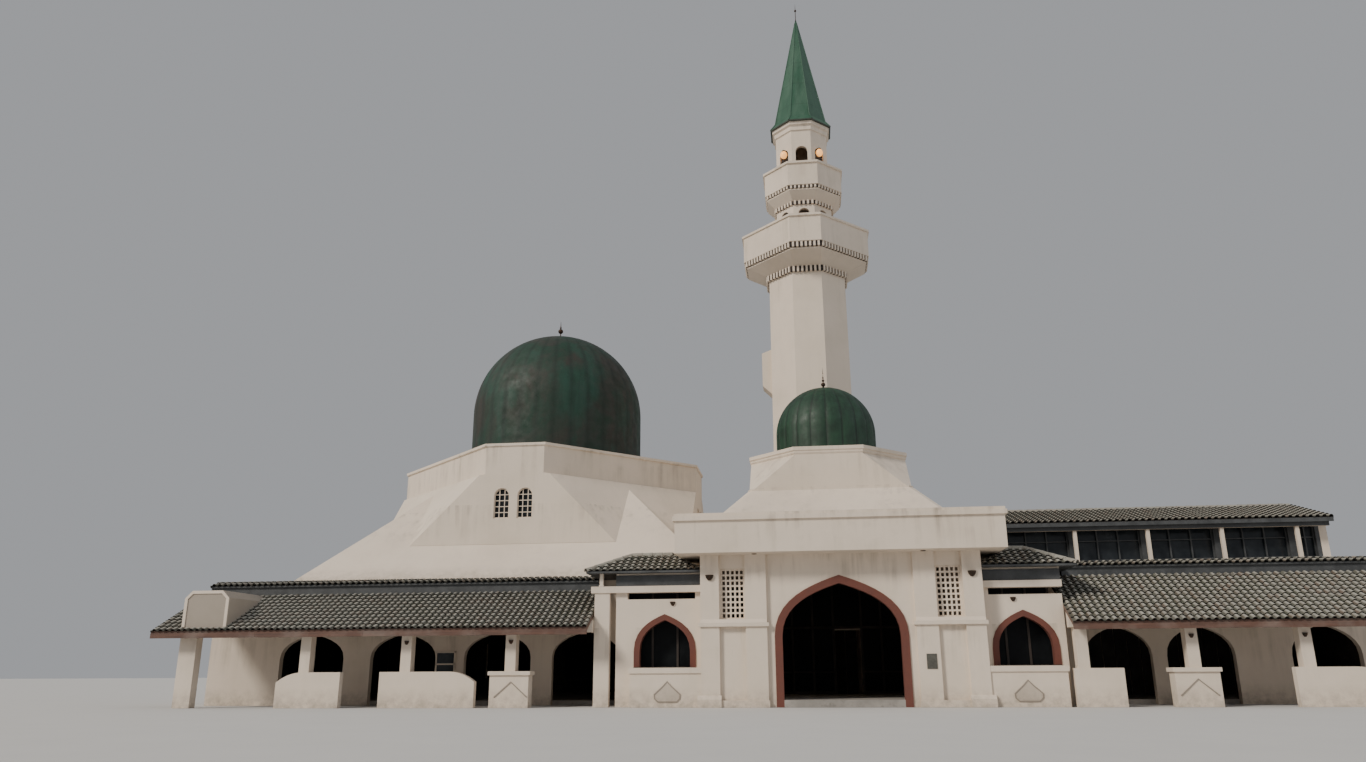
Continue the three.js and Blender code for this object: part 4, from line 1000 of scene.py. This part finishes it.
class LinkTilesOperator(Operator):
    """Lays the hipped tile roofs of the two links, with caps on hips and ridges"""
    bl_idname = "mosque.link_tiles"
    bl_label = "Link tiles"

    NEAR_END, FRONT, BACK, RIDGE = 4.423, 0.15, 2.65, 1.5
    # Level runs of the slopes below the hips at the porch and at the far end, in front and behind
    NEAR_RUN, FAR_RUN, FRONT_RUN, BACK_RUN = 1.1, 1.3, 1.29, 1.09

    def execute(self, context):
        low, high = LINK_ROOF_LEVELS
        rise = high - low
        x0, front, back = self.NEAR_END, self.FRONT, self.BACK
        depth = back - front
        for name, sign, far_end in (("left", -1, 8.2), ("right", 1, 7.35)):
            near, far = x0 + self.NEAR_RUN, far_end - self.FAR_RUN
            width = far_end - x0
            field = Draft()

            def along_front(u, width=width):
                return max(0.0, min(1.0, u / self.NEAR_RUN, (width - u) / self.FAR_RUN))

            def along_side(v):
                return max(0.0, min(1.0, v / self.FRONT_RUN, (depth - v) / self.BACK_RUN))

            slopes = (
                ((x0, front), (1, 0), (0, 1), self.FRONT_RUN, width, along_front),
                ((x0, back), (1, 0), (0, -1), self.BACK_RUN, width, along_front),
                ((far_end, front), (0, 1), (-1, 0), self.FAR_RUN, depth, along_side),
                ((x0, front), (0, 1), (1, 0), self.NEAR_RUN, depth, along_side),
            )
            for n, (corner, across, up, level, span, reach) in enumerate(slopes):
                if sign < 0 and across[0]:
                    corner = (corner[0] + span, corner[1])
                    reach = (lambda u, r=reach, s=span: r(s - u))
                tile_field(field, (sign * corner[0], corner[1], low), (*across, 0),
                           (sign * up[0], up[1], rise / level), span, math.hypot(level, rise),
                           31 + n, reach=reach, rise=0.75)
            lift = Vector((0, 0, 0.06))
            ends = [Vector((sign * x, self.RIDGE, high)) for x in (near, far)]
            hips = (((far_end, front), ends[1]), ((far_end, back), ends[1]), ((x0, back), ends[0]))
            ridge_caps(field, ends[0] + lift, ends[1] + lift, 0.095, 41)
            for n, ((x, y), end) in enumerate(hips):
                ridge_caps(field, Vector((sign * x, y, low)) + lift * 0.7, end + lift, 0.09, 42 + n)
            field.piece(f"{name}_link_tiles", "weathered_roof_tile", smooth=50)
        return {"FINISHED"}


# The block's roof: its left end, the level of its eaves, and the places of its eaves and its ridge
BLOCK_LEFT, BLOCK_EAVE_LEVEL = 5.26, 6.05
BLOCK_FRONT_EAVE, BLOCK_RIDGE, BLOCK_BACK_EAVE = 4.0, 6.9, 9.8
# The inside of the room behind the right arcade, just clear of its walls, floor and ceiling
ROOM = {"left": 5.515, "right": 16.645, "front": 2.92, "back": 8.945, "foot": 0.155, "head": 4.29}
BOARD = 0.02


class BlockRoofOperator(Operator):
    """Lays both tiled slopes of the rear block, with its ridge"""
    bl_idname = "mosque.block_tiles"
    bl_label = "Block tiles"

    def execute(self, context):
        slope, overhang, end_gap = 0.81 / 2.9, 0.05, 0.005
        depth = BLOCK_RIDGE - BLOCK_FRONT_EAVE + overhang
        foot = BLOCK_EAVE_LEVEL - overhang * slope
        field = Draft()
        for y, inward, seed in ((BLOCK_FRONT_EAVE - overhang, 1, 51), (BLOCK_BACK_EAVE + overhang, -1, 52)):
            tile_field(field, (BLOCK_LEFT + end_gap, y, foot), (1, 0, 0), (0, inward, slope),
                       RIGHT_END - BLOCK_LEFT - 2 * end_gap, math.hypot(depth, depth * slope), seed)
        ridge = [(x, BLOCK_RIDGE, 6.89) for x in (BLOCK_LEFT + 0.03, RIGHT_END - 0.01)]
        ridge_caps(field, *ridge, 0.11, 53)
        field.piece("block_roof_tiles", "weathered_roof_tile", smooth=50)
        return {"FINISHED"}


class BlockFrontOperator(Operator):
    """Builds the sashes of the block's strip windows, dark boards of painted shade under its eaves and dark
    boards of painted shade lining its room
    """
    bl_idname = "mosque.block_front"
    bl_label = "Block front"

    # The strip windows: ends and mullions, both levels and the rail between them
    EDGES = (5.51, *[5.96 + 2.45 * i for i in range(5)], 16.65)
    MULLION = 0.13
    FACE, FOOT, HEAD, RAIL = 4.70, 4.79, 5.90, (5.44, 5.475)
    NARROWEST, SASH_WIDTH = 0.3, 0.73

    def execute(self, context):
        sashes = Draft()
        y = self.FACE
        for a, b in zip(self.EDGES, self.EDGES[1:]):
            left, right = a + self.MULLION, b - self.MULLION
            if right - left < self.NARROWEST:
                continue
            for z in (self.FOOT, self.HEAD):
                sashes.box(left, right, y, y + 0.05, z - 0.02, z + 0.02)
            count = max(2, round((right - left) / self.SASH_WIDTH))
            for i in range(count + 1):
                x = left + 0.025 + (right - left - 0.05) * i / count
                sashes.box(x - 0.022, x + 0.022, y, y + 0.055, self.FOOT, self.HEAD)
            sashes.box(left, right, y + 0.005, y + 0.05, *self.RAIL)
        sashes.piece("block_window_sashes", "dark_board_and_painted_shade", bevel=0.003)
        eave_shade = Draft()
        # Painted shade: near-black boards make the shadow band under each eave
        for y in (BLOCK_FRONT_EAVE - 0.015, BLOCK_BACK_EAVE + 0.015):
            eave_shade.box(BLOCK_LEFT + 0.01, RIGHT_END - 0.005, y - 0.018, y + 0.018, 5.90, 6.04)
        eave_shade.box(5.52, RIGHT_END - 0.11, 4.095, 4.128, 5.775, 5.95)
        eave_shade.piece("block_eave_painted_shade", "dark_board_and_painted_shade", bevel=EASED)
        # Painted shade: near-black boards line the room's walls, seen through the arcade's arches
        panelling = Draft()
        left, right, back, levels = ROOM["left"], ROOM["right"], ROOM["back"], (ROOM["foot"], ROOM["head"])
        half = 0.225
        for x in middles(left, right, 24):
            panelling.box(x - half, x + half, back - BOARD, back, *levels)
        for y in middles(ROOM["front"], back - 0.03, 13):
            panelling.box(right - BOARD, right, y - half, y + half, *levels)
            panelling.box(left, left + BOARD, y - half, y + half, *levels)
        panelling.piece("right_room_painted_shade", "dark_timber_and_painted_shade", bevel=EASED)
        return {"FINISHED"}


class EavesOperator(Operator):
    """Builds the timber eave boards, rafters, dark fascias and the post on the left beam"""
    bl_idname = "mosque.eaves"
    bl_label = "Eaves"

    BOARD_LENGTH, BOARD_LEVELS = 3.6, (2.235, 2.40)
    RAFTER_PITCH, RAFTER = 0.6, (0.06, 0.52, 0.09)
    FASCIA = (0.44, 0.505, 3.79, 4.13)

    def execute(self, context):
        boards = Draft()
        rafters = Draft()
        for x0, x1, slope in (LEFT_ROOF, RIGHT_ROOF):
            joints = max(1, round((x1 - x0) / self.BOARD_LENGTH))
            half = (x1 - x0) / joints / 2 - 0.002
            for x in middles(x0, x1, joints):
                boards.box(x - half, x + half, EAVE_FRONT - 0.03, EAVE_FRONT + 0.001, *self.BOARD_LEVELS)
            for x in middles(x0, x1, round((x1 - x0) / self.RAFTER_PITCH)):
                rafters.brick((x, -0.19, EAVE_TOP - 0.11 - 0.045 + 0.26 * slope), (1, 0, 0), (0, 1, slope),
                              self.RAFTER)
        boards.piece("arcade_eave_boards", "eave_timber", bevel=EASED)
        rafters.piece("arcade_rafter_ends", "eave_timber", bevel=EASED)
        fascias = Draft()
        for x0, x1 in ((-7.25, -4.43), (4.43, 6.86)):
            fascias.box(x0, x1, *self.FASCIA)
        fascias.piece("link_fascias", "dark_board_and_painted_shade", bevel=0.006)
        post = Draft()
        post.box(-7.79, -7.67, 0.37, 0.49, 3.775, 4.195)
        post.box(-7.81, -7.65, 0.35, 0.51, 3.775, 3.82)
        post.piece("left_beam_post", "trim_plaster", bevel=0.006)
        return {"FINISHED"}


def half_bowl(draft, x, wall, z, width, height):
    """An open half bowl on a wall, with a flat back."""
    radius = width / 2
    profile = [(0.0, z - height), (radius * 0.35, z - height), (radius * 0.8, z - height * 0.55),
               (radius, z), (radius - 0.012, z), (radius * 0.72, z - height * 0.5), (0.0, z - height * 0.7)]
    draft.turned((x, wall), profile, 14, start=math.pi, sweep=math.pi)


class PorchLampsOperator(Operator):
    """Builds the lamps on the walls and the porch's soffit, and the bare plate"""
    bl_idname = "mosque.porch_lamps"
    bl_label = "Porch lamps and plate"

    # Lamp bowls: both or all places, the wall's face, the rim's level, the width and the height
    BOWLS = (
        ((-4.12, 4.12), 0.0, 4.06, 0.27, 0.17),
        ((-5.38, 5.38), 0.5, 3.27, 0.18, 0.13),
        ((-14.12, -10.6, 10.35, 13.55), 0.0, 2.09, 0.16, 0.12),
    )
    SPOTS, SPOT_PLACE, SOFFIT = (-2.65, 2.65), -0.22, 4.70
    PLATE = (2.55, 2.86, -0.018, 0.004, 1.12, 1.57)
    SCREW_INSET, SCREW = 0.025, (0.016, 0.008, 0.016)

    def execute(self, context):
        bowls = Draft()
        for places, wall, level, width, height in self.BOWLS:
            for x in places:
                half_bowl(bowls, x, wall, level, width, height)
        bowls.piece("wall_lamp_bowls", "dark_cast_metal", smooth=40)
        rings = Draft()
        glows = Draft()
        top = self.SOFFIT
        for x in self.SPOTS:
            rings.turned((x, self.SPOT_PLACE), [
                (0.055, top), (0.085, top), (0.085, top - 0.022), (0.06, top - 0.028),
                (0.055, top - 0.01), (0.055, top)], 20)
            glows.turned((x, self.SPOT_PLACE), [
                (0.0, top), (0.056, top), (0.05, top - 0.016), (0.0, top - 0.02)], 20)
        rings.piece("soffit_lamp_rings", "dark_cast_metal", smooth=40)
        glows.piece("soffit_lamp_glass", "warm_lamp_glass", smooth=40)
        plate = Draft()
        plate.box(*self.PLATE)
        x0, x1, y, _, z0, z1 = self.PLATE
        for x in (x0 + self.SCREW_INSET, x1 - self.SCREW_INSET):
            for z in (z0 + self.SCREW_INSET, z1 - self.SCREW_INSET):
                plate.brick((x, y - 0.002, z), (1, 0, 0), (0, 1, 0), self.SCREW)
        plate.piece("porch_wall_plate", "bare_wall_plate", bevel=0.003)
        return {"FINISHED"}


class CarvingOperator(Operator):
    """Builds the carved outlines on the planters and on the arcades' pedestals"""
    bl_idname = "mosque.carving"
    bl_label = "Carving"

    # The right half of a planter's pointed shape, from its tip down
    TIP, RIGHT_HALF = (0.0, 0.78), ((0.15, 0.62), (0.30, 0.49), (0.41, 0.39), (0.40, 0.27), (0.30, 0.17))
    PLANTERS, PEDESTALS = (-5.5, 5.5), (-10.53, 10.35)
    GROOVE = 0.036

    def execute(self, context):
        carved = Draft()
        fields = Draft()
        shape = [self.TIP, *self.RIGHT_HALF, *[(-x, z) for x, z in reversed(self.RIGHT_HALF)]]
        count = len(shape)
        for middle in self.PLANTERS:
            path = [(middle + x, z) for x, z in shape]
            ribbon(carved, path, on_wall(0.055), self.GROOVE, 0.028, closed=True)
            points = [(middle + x, y, z) for y in (0.038, 0.06) for x, z in shape]
            sides = [(i, (i + 1) % count, count + (i + 1) % count, count + i) for i in range(count)]
            fields.add(points, [tuple(range(count)), tuple(range(2 * count - 1, count - 1, -1)), *sides])
        for x in self.PEDESTALS:
            path = [(x - 0.54, 0.32), (x, 0.79), (x + 0.54, 0.32)]
            ribbon(carved, path, on_wall(-0.055), self.GROOVE, 0.024)
        # Painted shade: the raised outlines are painted dark, as the shade of a carving
        carved.piece("carved_outlines", "carved_plaster_painted_shade")
        fields.piece("carved_fields", "carved_field_plaster")
        return {"FINISHED"}


class InnerDoorsOperator(Operator):
    """Builds the dark glazed screens in the porch and the links, and near-black boards of painted shade at
    the minaret's foot
    """
    bl_idname = "mosque.inner_doors"
    bl_label = "Inner doors"

    # The porch's screen on its rear wall: posts, the doorway's sides, and levels from foot to head
    WALL, HALF_WIDTH = 8.95, 4.16
    POSTS = (-4.12, -3.3, -2.49, -1.68, -0.87, -0.05, 1.05, 1.82, 2.59, 3.35, 4.12)
    DOORWAY = (-0.04, 1.04)
    FOOT, LOW_RAIL, TRANSOM, HEAD = 0.225, 1.05, 2.75, 4.50
    # The links' screens: nearest place to the porch, and how far each reaches
    LINK_NEAR, LINK_REACHES = 4.43, ((-1, 6.98), (1, 6.6))
    LINK_PANE, LINK_RAIL, LINK_POST = (1.075, 1.085), (1.045, 1.105), (1.04, 1.11)
    LINK_RAILS = (0.05, 1.15, 2.9, 4.12)

    def execute(self, context):
        doors = Draft()
        panels = Draft()
        self.porch_screen(doors, panels)
        self.link_screens(doors, panels)
        doors.piece("porch_door_frames", "dark_timber_and_painted_shade", bevel=EASED)
        self.minaret_foot()
        panels.piece("porch_door_panes", "shaded_window_glass")
        return {"FINISHED"}

    def porch_screen(self, doors, panels):
        wall, reach = self.WALL, self.HALF_WIDTH
        for x0, x1, z0, z1 in ((-reach, reach, self.TRANSOM - 0.05, self.TRANSOM + 0.05),
                               (-reach, reach, self.HEAD - 0.1, self.HEAD),
                               (-reach, self.DOORWAY[0], self.FOOT, 0.32),
                               (self.DOORWAY[1], reach, self.FOOT, 0.32)):
            doors.box(x0, x1, wall - 0.05, wall - 0.001, z0, z1)
        for x in self.POSTS:
            doors.box(x - 0.045, x + 0.045, wall - 0.07, wall - 0.001, self.FOOT, self.HEAD)
        for a, b in zip(self.POSTS, self.POSTS[1:]):
            x0, x1 = a + 0.03, b - 0.03
            if a < 0 < b:
                panels.box(x0, x1, wall - 0.025, wall - 0.002, self.TRANSOM, 4.45)
                continue
            panels.box(x0, x1, wall - 0.025, wall - 0.002, 0.27, self.LOW_RAIL)
            panels.box(x0, x1, wall - 0.02, wall - 0.002, self.LOW_RAIL, self.TRANSOM)
            panels.box(x0, x1, wall - 0.02, wall - 0.002, self.TRANSOM, 4.45)
            doors.box(a + 0.04, b - 0.04, wall - 0.045, wall - 0.001,
                      self.LOW_RAIL - 0.03, self.LOW_RAIL + 0.03)

    def link_screens(self, doors, panels):
        for sign, reach in self.LINK_REACHES:
            x0, x1 = sorted((sign * self.LINK_NEAR, sign * reach))
            panels.box(x0, x1, *self.LINK_PANE, 0.05, 4.15)
            for i in range(4):
                x = x0 + 0.04 + (x1 - x0 - 0.08) * i / 3
                doors.box(x - 0.035, x + 0.035, *self.LINK_POST, 0.0, 4.17)
            for z in self.LINK_RAILS:
                doors.box(x0, x1, *self.LINK_RAIL, z - 0.04, z + 0.04)

    def minaret_foot(self):
        # Painted shade: near-black boards fill the view through the porch's doorway
        panelling = Draft()
        half = MINARET_FOOT_INSIDE - 0.004
        middle_x, middle_y = MINARET_AXIS
        width = half / 6 - 0.006
        for x in middles(middle_x - half, middle_x + half, 6):
            panelling.box(x - width, x + width, middle_y + half - BOARD, middle_y + half, 0.01, 3.6)
        panelling.piece("minaret_foot_painted_shade", "dark_timber_and_painted_shade", bevel=EASED)


class HallDetailsOperator(Operator):
    """Builds the grilles of the hall's low arches, its panelling, the low window and the gable's strips"""
    bl_idname = "mosque.hall_details"
    bl_label = "Hall details"

    # The low arches: half width, spring and rise of the head
    ARCH_HALF, ARCH_SPRING, ARCH_RISE = 1.2, 1.6, 0.85
    BAR_PITCH, BAR_RADIUS, RAIL_RADIUS, RAILS = 0.155, 0.009, 0.014, (1.02, 1.58)
    PANE_HALF, PANE_LEVELS = 1.4, (0.84, 2.52)
    # Where grilles and panes stand in the rear and in the left wall
    REAR_GRILLE, REAR_PANE = 18.12, (17.965, 17.985)
    LEFT_GRILLE, LEFT_PANE = -22.47, (-22.335, -22.315)
    # The panelling's levels, and its two lengths where an arch crosses a board
    BOARD_FULL, BOARD_CROSSED = ((0.155, 3.4),), ((0.155, 0.85), (2.51, 3.4))
    # The low window on the arcade's wall: both sides, sill and head
    WINDOW = (-14.08, -13.36, 0.95, 1.81)

    def execute(self, context):
        self.arches()
        self.panelling()
        self.low_window()
        self.gable_strips()
        return {"FINISHED"}

    def arches(self):
        grilles = Draft()
        panes = Draft()

        def head(u):
            share = min(1.0, abs(u) / self.ARCH_HALF)
            return self.ARCH_SPRING + self.ARCH_RISE * (1 - share ** 2.2)

        def grille(place):
            for i in range(-7, 8):
                u = i * self.BAR_PITCH
                grilles.tube(place(u, 0.91), place(u, head(u) - 0.01), self.BAR_RADIUS, 6)
            for z in self.RAILS:
                grilles.tube(place(-1.19, z), place(1.19, z), self.RAIL_RADIUS, 6)

        for x in REAR_ARCHES:
            grille(lambda u, z, x=x: Vector((x + u, self.REAR_GRILLE, z)))
            panes.box(x - self.PANE_HALF, x + self.PANE_HALF, *self.REAR_PANE, *self.PANE_LEVELS)
        for y in SIDE_ARCHES:
            grille(lambda u, z, y=y: Vector((self.LEFT_GRILLE, y + u, z)))
            panes.box(*self.LEFT_PANE, y - self.PANE_HALF, y + self.PANE_HALF, *self.PANE_LEVELS)
        grilles.piece("hall_arch_grilles", "dark_cast_metal", smooth=40)
        panes.piece("hall_arch_panes", "shaded_window_glass")

    def panelling(self):
        panelling = Draft()
        front = HALL_FRONT + 0.254
        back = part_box("hall_back_wall")[0].y - PORCH_PLACE.y - 0.002
        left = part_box("hall_left_wall")[1].x - PORCH_PLACE.x + 0.004
        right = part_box("hall_right_wall")[0].x - PORCH_PLACE.x - 0.004
        corner = 0.03

        def boards(start, end, count, arches):
            """Each board's two edges and the foot and head of its lengths above and below an arch."""
            half = (end - start) / count / 2 - 0.003
            for middle in middles(start, end, count):
                crossed = any(abs(middle - arch) < self.PANE_HALF - 0.01 for arch in arches)
                for foot, head in self.BOARD_CROSSED if crossed else self.BOARD_FULL:
                    yield middle - half, middle + half, foot, head

        for x0, x1, foot, head in boards(left + corner, right - corner, 68, REAR_ARCHES):
            panelling.box(x0, x1, back - BOARD, back, foot, head)
        for y0, y1, foot, head in boards(front, back - corner, 58, SIDE_ARCHES):
            panelling.box(left, left + BOARD, y0, y1, foot, head)
        for y0, y1, foot, head in boards(front, back - corner, 58, ()):
            panelling.box(right - BOARD, right, y0, y1, foot, head)
        panelling.piece("hall_panelling", "dark_timber_and_painted_shade", bevel=EASED)

    def low_window(self):
        left, right, sill, head = self.WINDOW
        bar, face = 0.025, HALL_FRONT + 0.002
        window = Draft()
        for z in (sill + bar, (sill + head) / 2, head - bar):
            window.box(left, right, 2.60, face, z - bar, z + bar)
        for x in (left + bar, right - bar):
            window.box(x - bar, x + bar, 2.60, face, sill, head)
        window.piece("hall_low_window_frame", "trim_plaster", bevel=EASED)
        pane = Draft()
        pane.box(left + 0.02, right - 0.02, 2.63, face, sill + 0.02, head - 0.02)
        pane.piece("hall_low_window_pane", "dark_window_glass")

    def gable_strips(self):
        low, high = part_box("left_end_gable")
        edge, corner, foot = 0.05, 0.26, 2.60
        x0, x1 = low.x - PORCH_PLACE.x, high.x - PORCH_PLACE.x
        y, top = low.y - PORCH_PLACE.y, high.z
        path = [(x0 + edge, foot), (x0 + edge, top - corner), (x0 + corner, top - edge),
                (x1 - corner, top - edge), (x1 - edge, top - corner), (x1 - edge, foot)]
        strips = Draft()
        ribbon(strips, path, on_wall(y), 0.10, 0.03)
        strips.piece("left_gable_strips", "trim_plaster")


class PlantersOperator(Operator):
    """Fills the tops of the two planters with rough soil"""
    bl_idname = "mosque.planters"
    bl_label = "Planters"

    NEAR, FAR, FRONT, BACK, TOP = 4.72, 6.62, 0.11, 0.47, 1.199
    COLUMNS, ROWS = 38, 8

    def execute(self, context):
        columns, rows = self.COLUMNS, self.ROWS
        soil = Draft()
        for sign in (-1, 1):
            x0, x1 = sorted((sign * self.NEAR, sign * self.FAR))
            points = []
            for j in range(rows + 1):
                for i in range(columns + 1):
                    x = x0 + (x1 - x0) * i / columns
                    y = self.FRONT + (self.BACK - self.FRONT) * j / rows
                    rim = min(i, columns - i, j, rows - j)
                    crumb = 0.014 * noise.noise(Vector((x * 9, y * 9, 0.3)))
                    points.append((x, y, self.TOP + (0.0 if rim == 0 else 0.022 + crumb)))
            corners = [j * (columns + 1) + i for j in range(rows) for i in range(columns)]
            soil.add(points, [(c, c + 1, c + columns + 2, c + columns + 1) for c in corners])
        soil.piece("planter_soil", "planter_soil", smooth=60)
        return {"FINISHED"}


class StageOperator(Operator):
    """Sets the pale floor, the soft light and the camera"""
    bl_idname = "mosque.stage"
    bl_label = "Stage"

    FLOOR_REACH, FLOOR_LEVEL = 600.0, -0.004
    # Lights: strength, tint, spread in degrees and direction
    SUNS = {
        "key_light": (2.6, (1.0, 0.93, 0.84), 12, (0.68, 0.60, -0.62)),
        "fill_light": (0.4, (0.9, 0.94, 1.0), 60, (-0.8, 0.35, -0.6)),
    }
    SKY_TINT, SKY_STRENGTH = (0.86, 0.88, 0.92, 1.0), 0.42
    # The photograph's camera: place, turn, tilt and roll in degrees, and lens in millimetres
    CAMERA_PLACE, TURN, TILT, ROLL, LENS = (2.032, -41.16, 1.015), 6.990, 16.381, -0.300, 26.246

    def execute(self, context):
        self.add = context.scene.collection.objects.link
        self.floor()
        self.lights(context.scene)
        context.scene.camera = self.camera()
        return {"FINISHED"}

    def floor(self):
        finish = Finish("studio_floor", 0.9)
        base = rgb("floor")
        finish.layer(finish.cloud((0.6, 3.0), 0.3, 0.7), shade(base, 1.015), shade(base, 0.985))
        mesh = bpy.data.meshes.new("studio_floor")
        corners = ((-1, -1), (1, -1), (1, 1), (-1, 1))
        mesh.from_pydata([(x * self.FLOOR_REACH, y * self.FLOOR_REACH, self.FLOOR_LEVEL) for x, y in corners],
                         [], [(0, 1, 2, 3)])
        mesh.materials.append(finish.material)
        floor = bpy.data.objects.new("studio_floor", mesh)
        self.add(floor)

    def lights(self, scene):
        world = bpy.data.worlds.new("studio_sky")
        world.use_nodes = True
        sky = world.node_tree.nodes["Background"]
        sky.inputs["Color"].default_value = self.SKY_TINT
        sky.inputs["Strength"].default_value = self.SKY_STRENGTH
        scene.world = world
        for name, (energy, tint, spread, direction) in self.SUNS.items():
            light = bpy.data.lights.new(name, "SUN")
            light.energy = energy
            light.color = tint
            light.angle = math.radians(spread)
            made = bpy.data.objects.new(name, light)
            made.rotation_euler = Vector(direction).to_track_quat("-Z", "Y").to_euler()
            self.add(made)

    def camera(self):
        camera = bpy.data.cameras.new("photo_camera")
        camera.sensor_width = 36.0
        camera.lens = self.LENS
        camera.clip_end = 2000.0
        made = bpy.data.objects.new("photo_camera", camera)
        made.matrix_world = (Matrix.Translation(self.CAMERA_PLACE)
                             @ Matrix.Rotation(math.radians(self.TURN), 4, "Z")
                             @ Matrix.Rotation(math.radians(90 + self.TILT), 4, "X")
                             @ Matrix.Rotation(math.radians(self.ROLL), 4, "Z"))
        self.add(made)
        return made


OPERATORS = (
    WallsOperator, DomesOperator, FinialsOperator, MinaretTrimOperator, DrumWindowsOperator,
    ArcadeTilesOperator, LinkTilesOperator, BlockRoofOperator, BlockFrontOperator, EavesOperator,
    PorchLampsOperator, CarvingOperator, InnerDoorsOperator, HallDetailsOperator, PlantersOperator,
    StageOperator,
)


class MosquePanel(Panel):
    """Lists the mosque's pieces and their settings"""
    bl_idname = "VIEW3D_PT_mosque"
    bl_label = "Mosque"
    bl_space_type = "VIEW_3D"
    bl_region_type = "UI"
    bl_category = "Mosque"

    def draw(self, context):
        for operator in OPERATORS:
            self.layout.operator(operator.bl_idname)
        for group in (context.scene.mosque_tiles, context.scene.mosque_trim, context.scene.mosque_colours):
            box = self.layout.box()
            for key in group.bl_rna.properties.keys():
                if key not in ("rna_type", "name"):
                    box.prop(group, key)


CLASSES = (MosqueColours, MosqueTiles, MosqueTrim, *OPERATORS, MosquePanel)


def register():
    for cls in CLASSES:
        bpy.utils.register_class(cls)
    bpy.types.Scene.mosque_colours = PointerProperty(type=MosqueColours)
    bpy.types.Scene.mosque_tiles = PointerProperty(type=MosqueTiles)
    bpy.types.Scene.mosque_trim = PointerProperty(type=MosqueTrim)


def unregister():
    for name in ("mosque_colours", "mosque_tiles", "mosque_trim"):
        delattr(bpy.types.Scene, name)
    for cls in reversed(CLASSES):
        bpy.utils.unregister_class(cls)


def main():
    register()
    bpy.ops.mosque.walls()
    bpy.ops.mosque.domes()
    bpy.ops.mosque.finials()
    bpy.ops.mosque.minaret_trim()
    bpy.ops.mosque.drum_windows()
    bpy.ops.mosque.arcade_tiles()
    bpy.ops.mosque.link_tiles()
    bpy.ops.mosque.block_tiles()
    bpy.ops.mosque.block_front()
    bpy.ops.mosque.eaves()
    bpy.ops.mosque.porch_lamps()
    bpy.ops.mosque.carving()
    bpy.ops.mosque.inner_doors()
    bpy.ops.mosque.hall_details()
    bpy.ops.mosque.planters()
    bpy.ops.mosque.stage()


if __name__ == "__main__":
    main()
